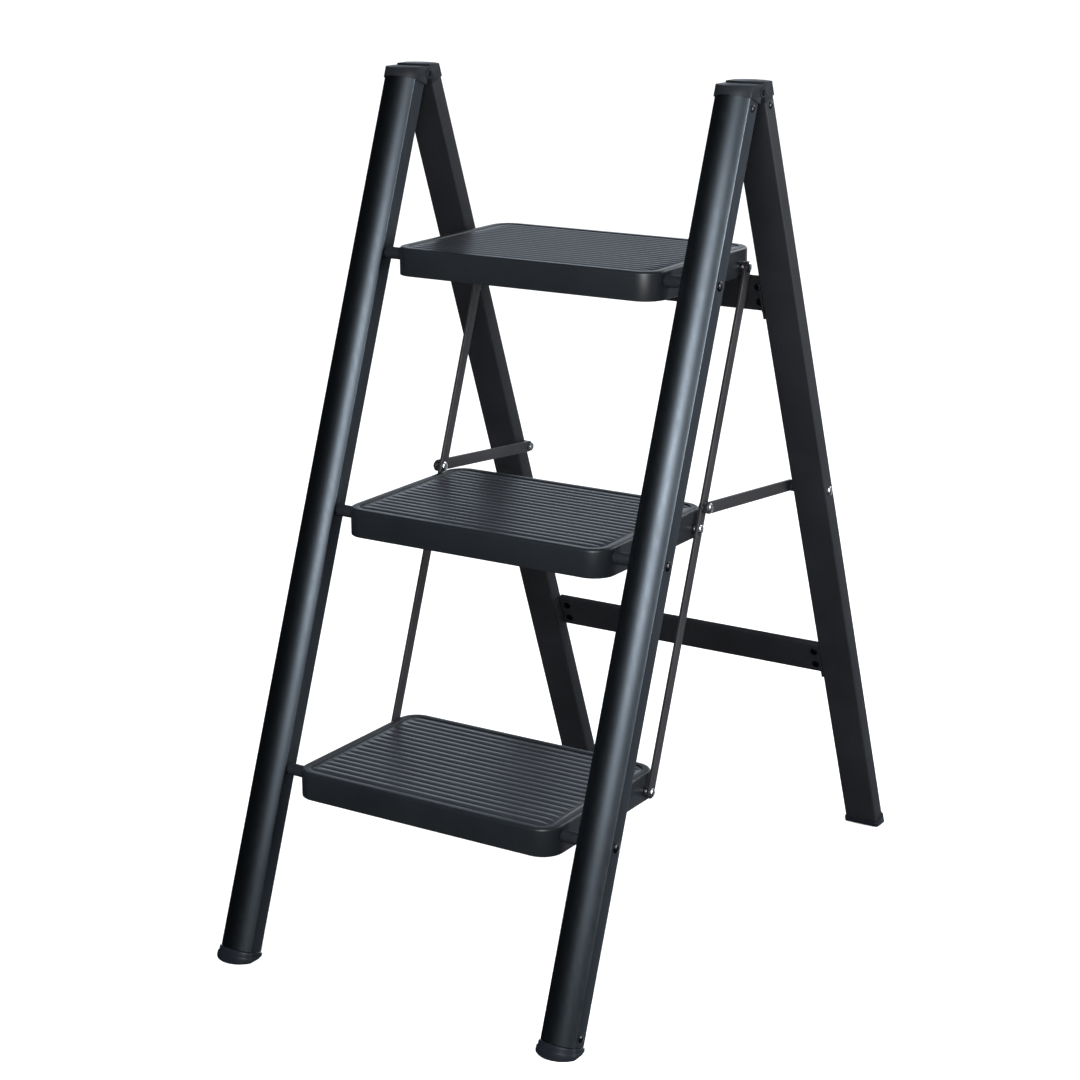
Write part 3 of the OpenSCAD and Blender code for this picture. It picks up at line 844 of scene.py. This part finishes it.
def show_bars(name, low, high, width, length, place, body):
    """Punches a pair of bars and hands them over."""
    for side, mirror in SIDES:
        mesh = to_mesh(bar_shell(low.x, high.x, width, length), f"{name}_{side}_flat", place, mirror)
        finish_piece(f"{name}_{side}_flat", mesh, "black_bar", body, [f"{name}_{side}"])
    print(name, round(width, 4), "wide", round(length, 4), "between its end holes")

# %% [markdown]
# A link bar joins the rear rivets of the three treads, so it runs parallel to the stiles and keeps the
# treads level with each other. Its bench stands on the lowest rivet and leans as the stiles do.

# %% Link bars, parallel to the stiles
link_place = bar_bench(middle_of("link_rivets_1"), stile_lean)
bar_low, bar_high = span("link_bar_right", link_place)
bar_width = bar_high.y - bar_low.y
link_length = bar_high.z - bar_low.z - bar_width
show_bars("link_bar", bar_low, bar_high, bar_width, link_length, link_place, "links")

# %% [markdown]
# A strut holds each leg away from the stiles while the ladder stands open. Its bench stands on the pin at
# the link bar and leans towards the bolt on the leg.

# %% Struts, from the link bars to the legs
strut_pin = middle_of("strut_pins")
reach = strut_bolt - strut_pin
strut_place = bar_bench(strut_pin, math.atan2(reach.y, reach.z))
strut_low, strut_high = span("strut_right", strut_place)
show_bars("strut", strut_low, strut_high, strut_high.y - strut_low.y, reach.length, strut_place, "struts")

# %% [markdown]
# ## Plastic ends
# The feet are boots that wrap the end of each tube, cut off level where they stand, with a flange that
# stands proud at the bottom. A boot is a loft of D rings that grow towards the floor, trimmed by
# a plane.

# %% Boots under the stiles, pads under the legs
SOFT_EDGE = 0.0005
BELOW_FLOOR = 0.03
BOOT_HEIGHT = 0.007
FLANGE_HEIGHT = 0.002
BOOT_GROW = 0.0014
FLANGE_GROW = 0.0026
PAD_GROW = 0.0016


def soften(shell, width, sharper_than=40, segments=3):
    """Rounds every edge that is sharper than an angle."""
    bmesh.ops.recalc_face_normals(shell, faces=shell.faces)
    hard = [e for e in shell.edges
            if len(e.link_faces) == 2 and e.calc_face_angle() > math.radians(sharper_than)]
    bmesh.ops.bevel(shell, geom=hard, offset=width, segments=segments, profile=0.5, affect="EDGES",
                    clamp_overlap=True)
    return shell


def foot(section, place, line):
    """A loft of D rings, tilted into place and cut level with the floor: line is (growth, height)."""
    shell = loft([[Vector((p.x, p.y, z)) for p in d_ring(section, grow)] for grow, z in line])
    shell.transform(place)
    every = shell.verts[:] + shell.edges[:] + shell.faces[:]
    cut = bmesh.ops.bisect_plane(shell, geom=every, plane_co=(0, 0, 0), plane_no=(0, 0, 1), clear_inner=True)
    bmesh.ops.edgenet_fill(shell, edges=[e for e in cut["geom_cut"] if isinstance(e, bmesh.types.BMEdge)])
    return soften(shell, SOFT_EDGE)


stile_floor = height_on(front, 0.0)
boot_top = stile_floor + BOOT_HEIGHT
flange_top = stile_floor + FLANGE_HEIGHT
boot_line = [(FLANGE_GROW, stile_floor - BELOW_FLOOR), (FLANGE_GROW, flange_top - 0.0008),
             (0.0022, flange_top), (BOOT_GROW, flange_top + 0.0006), (BOOT_GROW, boot_top - 0.0006),
             (0.0011, boot_top - 0.0001), (0.0002, boot_top)]
pad_top = leg_low.z
pad_line = [(PAD_GROW, height_on(rear, 0.0) - BELOW_FLOOR), (PAD_GROW, pad_top - 0.0005), (0.0012, pad_top),
            (0.0002, pad_top + 0.0001)]
for side, mirror in SIDES:
    mesh = to_mesh(foot(stile_section, front, boot_line), f"boot_{side}", mirror=mirror)
    finish_piece(f"boot_{side}", mesh, "foot_plastic", "front_frame", [f"front_foot_{side}"])
    print("boot", side, "faces", len(mesh.polygons))
for side, mirror in SIDES:
    mesh = to_mesh(foot(leg_section, rear, pad_line), f"pad_{side}", mirror=mirror)
    finish_piece(f"pad_{side}", mesh, "foot_plastic", "rear_frame", [f"rear_foot_{side}"])
    print("pad", side, "faces", len(mesh.polygons))

# %% [markdown]
# The caps hold the top hinge: a band over each tube, a tongue on the front cap and two ears on the
# rear one. The frame has their shape with the running clearances, so they are taken from it,
# welded, and given the moulded edge radii that a drawing leaves out.

# %% Caps with moulded edges
CAP_EDGE = 0.0006


def moulded_copy(node, radius):
    """A welded copy of a node's mesh with every hard edge rounded."""
    shell = bmesh.new()
    shell.from_mesh(frame["nodes"][node].data)
    bmesh.ops.remove_doubles(shell, verts=shell.verts, dist=2e-6)
    bmesh.ops.dissolve_limit(shell, angle_limit=math.radians(1), verts=shell.verts, edges=shell.edges)
    return soften(shell, radius, 35, 2)


for side, mirror in SIDES:
    for name, body in (("front_cap", "front_frame"), ("rear_cap", "rear_frame")):
        mesh = to_mesh(moulded_copy(f"{name}_{side}", CAP_EDGE), f"{name}_{side}_moulding")
        finish_piece(f"{name}_{side}_moulding", mesh, "black_plastic", body, [f"{name}_{side}"])
        print(name, side, "faces", len(mesh.polygons))

# %% [markdown]
# ## Fasteners
# Rivets, bolts and screws repeat all over the ladder, and each is the same few shapes at a new place.
# A tree makes one of them from its sizes and stands it on every point of a base mesh. A point
# marks the seat of a head, and its `aim` says which way the head looks.

# %% Seats for heads
def seats(places):
    """A mesh of points, each with the direction that its fastener looks in."""
    base = bpy.data.meshes.new("seats")
    base.from_pydata([place for place, aim in places], [], [])
    aims = base.attributes.new("aim", "FLOAT_VECTOR", "POINT")
    aims.data.foreach_set("vector", [v for place, aim in places for v in aim])
    return base


def stand_on_seats(tree, points, shape):
    """Stands a shape on every point, its Z along the point's aim."""
    aim = put(tree, "GeometryNodeInputNamedAttribute", {"Name": "aim"}, data_type="FLOAT_VECTOR")
    turn = put(tree, "FunctionNodeAlignRotationToVector", {"Vector": aim.outputs["Attribute"]}, axis="Z")
    return put(tree, "GeometryNodeInstanceOnPoints", {
        "Points": points, "Instance": shape, "Rotation": turn.outputs["Rotation"]}).outputs[0]


print("seats are ready")

# %% [markdown]
# Axles, rivets, bolts and screws are all a shank under a domed head. The head starts as a flat disc with
# rings of points, and the tree lifts the points by how far they lie from the middle.

# %% The tree that makes a domed pin
DOME_POWER = 2.2
DOME_ROUND = 0.6
pin_tree, pin = start_tree("domed_pin", {
    "Shank Radius": "Float", "Shank Length": "Float", "Head Radius": "Float", "Head Height": "Float",
    "Rim Height": "Float", "Finish": "Material"})
disc = put(pin_tree, "GeometryNodeMeshCylinder", {
    "Vertices": 28, "Side Segments": 1, "Fill Segments": 7, "Radius": pin["Head Radius"],
    "Depth": pin["Rim Height"]}).outputs["Mesh"]
half_rim = maths(pin_tree, "MULTIPLY", pin["Rim Height"], 0.5)
seated = shifted(pin_tree, disc, vector_of(pin_tree, Z=half_rim))
spot = position(pin_tree)
plan = vector_of(pin_tree, X=spot["X"], Y=spot["Y"])
off_axis = put(pin_tree, "ShaderNodeVectorMath", {0: plan}, operation="LENGTH").outputs["Value"]
share = maths(pin_tree, "DIVIDE", off_axis, pin["Head Radius"])
fall = maths(pin_tree, "SUBTRACT", 1.0, maths(pin_tree, "POWER", share, DOME_POWER), use_clamp=True)
dome = maths(pin_tree, "POWER", fall, DOME_ROUND)
crown = maths(pin_tree, "SUBTRACT", pin["Head Height"], pin["Rim Height"])
domed = put(pin_tree, "GeometryNodeSetPosition", {
    "Geometry": seated, "Selection": maths(pin_tree, "GREATER_THAN", spot["Z"], half_rim),
    "Offset": vector_of(pin_tree, Z=maths(pin_tree, "MULTIPLY", dome, crown))}).outputs[0]
shank = put(pin_tree, "GeometryNodeMeshCylinder", {
    "Vertices": 24, "Radius": pin["Shank Radius"], "Depth": pin["Shank Length"]}).outputs["Mesh"]
sink = vector_of(pin_tree, Z=maths(pin_tree, "MULTIPLY", pin["Shank Length"], -0.5))
whole_pin = put(pin_tree, "GeometryNodeJoinGeometry", {
    "Geometry": [domed, shifted(pin_tree, shank, sink)]}).outputs[0]
end_tree(pin_tree, stand_on_seats(pin_tree, pin["Geometry"], whole_pin), pin["Finish"])


def pins(places, slot, shank_radius, shank_length, head_radius, head_height, rim_height):
    """Runs the pin tree on a list of seats."""
    return run_tree(pin_tree, seats(places), {
        "Shank Radius": shank_radius, "Shank Length": shank_length, "Head Radius": head_radius,
        "Head Height": head_height, "Rim Height": rim_height, "Finish": finishes[slot]})


print("pin tree", len(pin_tree.nodes), "nodes")

# %% [markdown]
# Spacers, washers and bushes are turned rings, and a nut is the same ring with six sides. A small
# rounded block is swept round a circle, which closes the ring without a seam.

# %% The tree that makes a ring
ring_tree, ring = start_tree("turned_ring", {
    "Outer Radius": "Float", "Bore Radius": "Float", "Length": "Float", "Edge Radius": "Float",
    "Sides": "Int", "Finish": "Material"})
ring_wall = maths(ring_tree, "SUBTRACT", ring["Outer Radius"], ring["Bore Radius"])
both_radii = maths(ring_tree, "ADD", ring["Outer Radius"], ring["Bore Radius"])
path = put(ring_tree, "GeometryNodeCurvePrimitiveCircle", {
    "Resolution": ring["Sides"], "Radius": maths(ring_tree, "MULTIPLY", both_radii, 0.5)}).outputs[0]
block = put(ring_tree, "GeometryNodeCurvePrimitiveQuadrilateral", {
    "Width": ring_wall, "Height": ring["Length"]}).outputs[0]
rounded = put(ring_tree, "GeometryNodeFilletCurve", {
    "Curve": block, "Radius": ring["Edge Radius"], "Limit Radius": True, "Count": 3}, mode="POLY").outputs[0]
turned = put(ring_tree, "GeometryNodeCurveToMesh", {"Curve": path, "Profile Curve": rounded}).outputs[0]
half_ring = maths(ring_tree, "MULTIPLY", ring["Length"], 0.5)
raised = shifted(ring_tree, turned, vector_of(ring_tree, Z=half_ring))
end_tree(ring_tree, stand_on_seats(ring_tree, ring["Geometry"], raised), ring["Finish"])


def rings_on(places, slot, outer, bore, length, edge, sides=32):
    """Runs the ring tree on a list of seats."""
    return run_tree(ring_tree, seats(places), {
        "Outer Radius": outer, "Bore Radius": bore, "Length": length, "Edge Radius": edge,
        "Sides": sides, "Finish": finishes[slot]})


print("ring tree", len(ring_tree.nodes), "nodes")

# %% [markdown]
# Sizes of the fasteners come from the boxes of their nodes: the widest part of a node is its head, and
# how far it reaches tells the length.

# %% Sizes of the fasteners
RIGHT = Vector((1, 0, 0))
LEFT = Vector((-1, 0, 0))
stile_outer = stile_high.x
tread_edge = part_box("tread_1")[1].x
axle_low, axle_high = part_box("axle_1")
head_radius = (axle_high.z - axle_low.z) / 2
head_height = axle_high.x - stile_outer
AXLE_RADIUS = 0.003
RIVET_RADIUS = 0.0025
RIM = 0.0009
SPACER_GAP = 0.0003
print("heads", round(2 * head_radius, 4), "wide", round(head_height, 4), "high")


def both_sides(x, y, z, out=True):
    """The same seat on the right and on the left; out says that the head looks outwards."""
    return [(Vector((x, y, z)), RIGHT if out else LEFT), (Vector((-x, y, z)), LEFT if out else RIGHT)]


# %% [markdown]
# A tread turns on a long axle whose heads are formed against the stiles. A spacer on each side keeps it
# clear of the stile, and two bushes inside its skirt take the wear.

# %% Axles with their spacers and bushes
SPACER_EDGE = 0.0007
BUSH_EDGE = 0.0008
stile_inner = stile_low.x


def innermost(node):
    """How near a node comes to the ladder's middle plane."""
    return min(abs(v.co.x) for v in frame["nodes"][node].data.vertices)


spacer_radius = (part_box("axle_bushes_1")[1].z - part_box("axle_bushes_1")[0].z) / 2
spacer_seats = []
for k, axle in zip((1, 2, 3), axles):
    mesh = pins(both_sides(stile_outer, axle.y, axle.z), "black_screw", AXLE_RADIUS, stile_outer,
                head_radius, head_height, RIM)
    finish_piece(f"axle_{k}_rod", mesh, "black_screw", "front_frame", [f"axle_{k}"])
    spacer_seats += both_sides(tread_edge + SPACER_GAP, axle.y, axle.z)
    bush_inner = innermost(f"axle_bushes_{k}")
    mesh = rings_on(both_sides(bush_inner, axle.y, axle.z), "black_plastic", spacer_radius, AXLE_RADIUS,
                    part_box(f"axle_bushes_{k}")[1].x - bush_inner, BUSH_EDGE)
    finish_piece(f"axle_bushes_{k}_moulded", mesh, "black_plastic", f"step_{k}", [f"axle_bushes_{k}"])
mesh = rings_on(spacer_seats, "black_plastic", spacer_radius, AXLE_RADIUS,
                stile_inner - tread_edge - SPACER_GAP, SPACER_EDGE)
finish_piece("axle_spacers_moulded", mesh, "black_plastic", "front_frame", ["axle_spacers"])
print("spacers", round(2 * spacer_radius, 4), "wide", round(stile_inner - tread_edge, 4), "long")

# %% [markdown]
# A rivet has a head inside the skirt and one outside the bar, with a washer between tread and bar. At
# the strut, a pin with a wide shoulder belongs to the link bar and a smaller one to the strut.

# %% Link rivets, washers, and the pivots of the struts
HEAD_GAP = 0.0001
SHANK_OVERLAP = 0.001
WASHER_EDGE = 0.0005
bar_inner = bar_low.x
bar_outer = bar_high.x
skirt = tread_edge - TREAD_SHEET
for k in (1, 2, 3):
    at = middle_of(f"link_rivets_{k}")
    places = both_sides(bar_outer + HEAD_GAP, at.y, at.z) + both_sides(skirt, at.y, at.z, out=False)
    mesh = pins(places, "zinc", RIVET_RADIUS, (bar_outer - skirt) / 2 + SHANK_OVERLAP, head_radius,
                head_height, RIM)
    finish_piece(f"link_rivets_{k}_set", mesh, "zinc", f"step_{k}", [f"link_rivets_{k}"])

washer_low, washer_high = span("link_washers", link_place)
washer_seats = []
for share_up in (0.0, 0.5, 1.0):
    at = link_place @ Vector((0, 0, link_length * share_up))
    washer_seats += both_sides(tread_edge + SPACER_GAP, at.y, at.z)
mesh = rings_on(washer_seats, "zinc", (washer_high.y - washer_low.y) / 2, RIVET_RADIUS,
                bar_inner - tread_edge - SPACER_GAP, WASHER_EDGE)
finish_piece("link_washers_set", mesh, "zinc", "links", ["link_washers"])

strut_inner = strut_low.x
strut_outer = strut_high.x
mesh = pins(both_sides(bar_inner, strut_pin.y, strut_pin.z, out=False), "zinc", head_radius,
            strut_inner - bar_inner - SPACER_GAP, head_radius, head_height, RIM)
finish_piece("link_pins_shouldered", mesh, "zinc", "links", ["link_pins"])
mesh = pins(both_sides(strut_outer, strut_pin.y, strut_pin.z), "zinc", RIVET_RADIUS,
            strut_outer - strut_inner, head_radius, head_height, RIM)
finish_piece("strut_pins_set", mesh, "zinc", "struts", ["strut_pins"])
print("link rivets at", round(bar_outer, 4), "washers", len(washer_seats))

# %% [markdown]
# The bolt goes right through the leg: domed head outside, a spacer between the leg and the strut, and a
# six-sided nut on the strut's inner face.

# %% Bolts that hold the struts on the legs
NUT_HEIGHT = 0.003
NUT_EDGE = 0.0004
leg_outer = leg_high.x
mesh = pins(both_sides(leg_outer, strut_bolt.y, strut_bolt.z), "zinc", AXLE_RADIUS,
            leg_outer - strut_inner + NUT_HEIGHT, head_radius, head_height, RIM)
finish_piece("strut_bolts_set", mesh, "zinc", "rear_frame", ["strut_bolts"])
mesh = rings_on(both_sides(strut_outer + SPACER_GAP, strut_bolt.y, strut_bolt.z), "black_plastic",
                spacer_radius, AXLE_RADIUS, leg_inner - strut_outer - SPACER_GAP, SPACER_EDGE)
finish_piece("strut_spacers_moulded", mesh, "black_plastic", "rear_frame", ["strut_spacers"])
mesh = rings_on(both_sides(strut_inner - NUT_HEIGHT, strut_bolt.y, strut_bolt.z), "zinc", head_radius,
                AXLE_RADIUS, NUT_HEIGHT - SPACER_GAP, NUT_EDGE, sides=6)
finish_piece("strut_nuts_hex", mesh, "zinc", "rear_frame", ["strut_nuts"])
print("strut bolts", round(leg_outer - strut_inner + NUT_HEIGHT, 4), "long")

# %% [markdown]
# Each end of a crossbar has two rivets through its face and two small ones through the side of the leg,
# all on the angle bracket behind.

# %% Crossbar rivets, on the rear bench
RIVET_SHARES = (0.28, 0.72)
RIVET_INSET = 0.012
SIDE_RIVET_INSET = 0.0019
SIDE_RIVET_RADIUS = 0.0015
face_seats = []
side_seats = []
leg_front = -rear.to_3x3().col[1]
for low, high in bars.values():
    for share_up in RIVET_SHARES:
        z = low.z + (high.z - low.z) * share_up
        for way in (1, -1):
            on_face = Vector((way * (leg_inner - RIVET_INSET), low.y, z))
            on_side = Vector((way * (leg_inner - BRACKET_SHEET), leg_low.y + SIDE_RIVET_INSET, z))
            face_seats.append((rear @ on_face, leg_front))
            side_seats.append((rear @ on_side, LEFT * way))
both = bmesh.new()
both.from_mesh(pins(face_seats, "black_leg", RIVET_RADIUS, CHANNEL_SHEET + BRACKET_SHEET,
                    0.004, 0.0012, 0.0005))
both.from_mesh(pins(side_seats, "black_leg", SIDE_RIVET_RADIUS, BRACKET_SHEET + TUBE_WALL,
                    0.002, 0.001, 0.0004))
finish_piece("crossbar_rivets_set", to_mesh(both, "crossbar_rivets_set"), "black_screw", "rear_frame",
             ["crossbar_rivets"])
print("crossbar rivets", len(face_seats) + len(side_seats))

# %% [markdown]
# The screws that hold caps and feet in the tubes have a low round head with a cross recess. The
# recess is cut in the head once, before the screws are set down on their seats.

# %% The tree that makes a cross-head screw
screw_tree, screw = start_tree("cross_screw", {
    "Head Radius": "Float", "Head Height": "Float", "Slot Width": "Float", "Slot Depth": "Float",
    "Head": "Object", "Finish": "Material"})
head_shape = put(screw_tree, "GeometryNodeObjectInfo", {"Object": screw["Head"]}).outputs["Geometry"]
slot_long = maths(screw_tree, "MULTIPLY", screw["Head Radius"], 1.15)
slot_tall = maths(screw_tree, "MULTIPLY", screw["Slot Depth"], 2.0)
at_top = vector_of(screw_tree, Z=screw["Head Height"])
cutters = []
for x, y in ((slot_long, screw["Slot Width"]), (screw["Slot Width"], slot_long)):
    size = vector_of(screw_tree, X=x, Y=y, Z=slot_tall)
    blade = put(screw_tree, "GeometryNodeMeshCube", {"Size": size}).outputs[0]
    cutters.append(shifted(screw_tree, blade, at_top))
recessed = put(screw_tree, "GeometryNodeMeshBoolean", {
    "Mesh 1": head_shape, "Mesh 2": cutters}, operation="DIFFERENCE").outputs["Mesh"]
end_tree(screw_tree, stand_on_seats(screw_tree, screw["Geometry"], recessed), screw["Finish"])
print("screw tree", len(screw_tree.nodes), "nodes")

# %% [markdown]
# The heights of the screws are read off the frame: points of their heads that stand out past the tube
# are sorted into groups up the bench, and each group is one seat.

# %% Set the screws in stiles and legs
SCREW_RADIUS = 0.0015
SCREW_HEAD_RADIUS = 0.0035
SCREW_HEAD = 0.0018
SCREW_RIM = 0.0006
SCREW_LENGTH = 0.012
SLOT = 0.0009


def blank_screw():
    """A pin with a flatter dome at the origin, ready for its recess."""
    mesh = pins([(Vector(), Vector((0, 0, 1)))], "black_screw", SCREW_RADIUS, SCREW_LENGTH,
                SCREW_HEAD_RADIUS,
                SCREW_HEAD, SCREW_RIM)
    blank = bpy.data.objects.new("blank_screw", mesh)
    bpy.context.scene.collection.objects.link(blank)
    return blank


def screw_centres(node, place):
    """Centres of the screw heads on one side of the frame, up its bench."""
    back = place.inverted()
    heads = [back @ v.co for v in frame["nodes"][node].data.vertices if v.co.x > stile_outer + 0.0001]
    heads.sort(key=lambda p: p.z)
    groups = [[heads[0]]]
    for p in heads[1:]:
        if p.z - groups[-1][-1].z > 0.01:
            groups.append([])
        groups[-1].append(p)
    return [place @ Vector((0, (min(p.y for p in g) + max(p.y for p in g)) / 2,
                            (min(p.z for p in g) + max(p.z for p in g)) / 2)) for g in groups]


blank = blank_screw()
for node, place, body in (("front_screws", front, "front_frame"), ("rear_screws", rear, "rear_frame")):
    places = []
    for at in screw_centres(node, place):
        places += both_sides(stile_outer, at.y, at.z)
    mesh = run_tree(screw_tree, seats(places), {
        "Head Radius": SCREW_HEAD_RADIUS, "Head Height": SCREW_HEAD, "Slot Width": SLOT,
        "Slot Depth": SLOT, "Head": blank, "Finish": finishes["black_screw"]})
    finish_piece(f"{node}_set", mesh, "black_screw", body, [node], 30)
    print(node, len(places), "screws", len(mesh.polygons), "faces")
bpy.data.objects.remove(blank)

# %% [markdown]
# A plain pin runs through the ears and the tongue of the caps on each side, and carries the whole fold.

# %% Hinge pins
PIN_HEAD = 0.0008
PIN_RIM = 0.0003
pin_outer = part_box("hinge_pins")[1].x
pin_inner = innermost("hinge_pins")
mesh = pins(both_sides(pin_outer - PIN_HEAD, hinge.y, hinge.z), "black_screw", AXLE_RADIUS * 0.98,
            pin_outer - pin_inner - PIN_HEAD, AXLE_RADIUS, PIN_HEAD, PIN_RIM)
finish_piece("hinge_pins_set", mesh, "black_screw", "front_frame", ["hinge_pins"])
print("hinge pins", round(pin_outer - pin_inner, 4), "long")

# %% [markdown]
# ## Floor and light
# Dark, satin things are drawn by what they reflect, so the light is made of a few simple shapes: a key
# box in front, a strip for the edges, a box behind for the back, and one bright wall. The floor is
# pale and plain, and a very soft light from above keeps the surroundings white.

# %% Floor
FLOOR_HALF = 60.0


def pale_floor():
    """A large flat floor in off-white."""
    finish, tree, shader, where = start_finish("pale_floor", specular=0.0)
    cloud = noise(tree, where, 1.5, 2.0)
    shade = between(tree, spread(tree, cloud, 0, 1), (0.93, 0.93, 0.93), (0.95, 0.95, 0.95))
    tree.links.new(shade, shader.inputs["Base Color"])
    shader.inputs["Roughness"].default_value = 0.9
    shell = bmesh.new()
    bmesh.ops.create_grid(shell, x_segments=1, y_segments=1, size=FLOOR_HALF)
    mesh = bpy.data.meshes.new("floor")
    shell.to_mesh(mesh)
    shell.free()
    mesh.materials.append(finish)
    floor = bpy.data.objects.new("floor", mesh)
    bpy.context.scene.collection.objects.link(floor)
    floor.visible_glossy = False


pale_floor()
print("floor", 2 * FLOOR_HALF, "wide")

# %% [markdown]
# The key box stands close in front, where the round faces of both stiles mirror it as one soft band. The
# strip at the side lights the small radius along their outer edges. The ceiling light is nearly as wide
# as the sky and hidden from reflections, so it lifts the floor without greying the black.

# %% Lamps
def hang(lamp, name):
    """Links a lamp that lights the scene without being seen by the camera."""
    item = bpy.data.objects.new(name, lamp)
    item.visible_camera = False
    bpy.context.scene.collection.objects.link(item)
    return item


def soft_box(name, place, width, height, power):
    """A rectangular area light at a place, turned to the middle of the ladder."""
    lamp = bpy.data.lights.new(name, "AREA")
    lamp.shape = "RECTANGLE"
    lamp.size = width
    lamp.size_y = height
    lamp.energy = power
    item = hang(lamp, name)
    item.location = place
    item.rotation_mode = "QUATERNION"
    item.rotation_quaternion = (Vector(place) - heart).to_track_quat("Z", "Y")
    print(name, power, "W")


heart = (Vector(cad_box[0]) + Vector(cad_box[1])) / 2
soft_box("front_box", (0.52, -1.00, 0.88), 0.50, 0.56, 12.5)
soft_box("edge_strip", (1.9, 0.12, 0.85), 0.3, 0.9, 40.0)
soft_box("back_fill", (0.7, 2.3, 1.9), 2.0, 1.0, 30.0)

sun = bpy.data.lights.new("ceiling_light", "SUN")
sun.energy = 4.0
sun.angle = math.radians(150)
ceiling = hang(sun, "ceiling_light")
ceiling.rotation_euler = (math.radians(10), math.radians(6), 0)
ceiling.visible_glossy = False

# %% [markdown]
# The treads are seen at a low angle, so they mirror what stands far behind. A wall that is bright low
# down and fades upwards gives the top tread more sheen than the bottom one. Its right half is dim,
# which keeps the flat sides of the stiles dark.

# %% Room
WALL_GLOW = 2.0
ROOM_GLOW = 0.015
RIGHT_SHARE = 0.09


def room():
    """A dark room with one bright wall behind the ladder; the camera sees plain white."""
    world = bpy.data.worlds.new("room")
    bpy.context.scene.world = world
    world.use_nodes = True
    tree = world.node_tree
    way = put(tree, "ShaderNodeSeparateXYZ", {
        "Vector": put(tree, "ShaderNodeTexCoord").outputs["Generated"]}).outputs
    behind = ramp(tree, way["Y"], 0.62, 0.82, 0.0, 1.0, interpolation_type="SMOOTHSTEP")
    low_down = ramp(tree, way["Z"], 0.10, 0.44, 1.0, 0.0, interpolation_type="SMOOTHSTEP")
    leftwards = ramp(tree, way["X"], -0.3, 0.3, 1.0, RIGHT_SHARE)
    wall = maths(tree, "MULTIPLY", maths(tree, "MULTIPLY", behind, low_down), leftwards)
    lit = tree.nodes["Background"]
    lit.inputs["Color"].default_value = (0.78, 0.88, 1.0, 1)
    tree.links.new(ramp(tree, wall, 0.0, 1.0, ROOM_GLOW, WALL_GLOW), lit.inputs["Strength"])
    plain = put(tree, "ShaderNodeBackground", {"Color": (1, 1, 1, 1), "Strength": 1.0})
    seen = put(tree, "ShaderNodeLightPath").outputs["Is Camera Ray"]
    mix = put(tree, "ShaderNodeMixShader", {0: seen, 1: lit.outputs[0], 2: plain.outputs[0]})
    tree.links.new(mix.outputs[0], tree.nodes["World Output"].inputs["Surface"])


room()
print("wall glows", WALL_GLOW, "room", ROOM_GLOW)

# %% [markdown]
# The camera stands a little to the right of the ladder and a little above it, with a long lens, so
# that upright lines stay calm.

# %% Camera
CAMERA_AT = Vector((1.26735, -2.03993, 1.06545))
CAMERA_YAW = math.radians(32.61)
CAMERA_PITCH = math.radians(-15.9)
CAMERA_ROLL = math.radians(-0.19)


def place_camera():
    """Points the camera by yaw, pitch and roll."""
    ahead = Vector((-math.sin(CAMERA_YAW) * math.cos(CAMERA_PITCH),
                    math.cos(CAMERA_YAW) * math.cos(CAMERA_PITCH), math.sin(CAMERA_PITCH)))
    right = Vector((math.cos(CAMERA_YAW), math.sin(CAMERA_YAW), 0))
    up = right.cross(ahead)
    rolled_right = right * math.cos(CAMERA_ROLL) + up * math.sin(CAMERA_ROLL)
    rolled_up = up * math.cos(CAMERA_ROLL) - right * math.sin(CAMERA_ROLL)
    data = bpy.data.cameras.new("camera")
    data.sensor_width = 36.0
    data.lens = 81.476
    data.clip_end = 200.0
    camera = bpy.data.objects.new("camera", data)
    turn = Matrix((rolled_right, rolled_up, -ahead)).transposed().to_4x4()
    camera.matrix_world = Matrix.Translation(CAMERA_AT) @ turn
    bpy.context.scene.collection.objects.link(camera)
    bpy.context.scene.camera = camera
    print("camera", [round(v, 3) for v in CAMERA_AT], data.lens, "mm")


place_camera()
bpy.context.scene.view_settings.view_transform = "Standard"

# %% [markdown]
# Last, the scene is brought up to date. The finished ladder has to stay inside the box of the frame.

# %% Bring the scene up to date
bpy.context.view_layer.update()
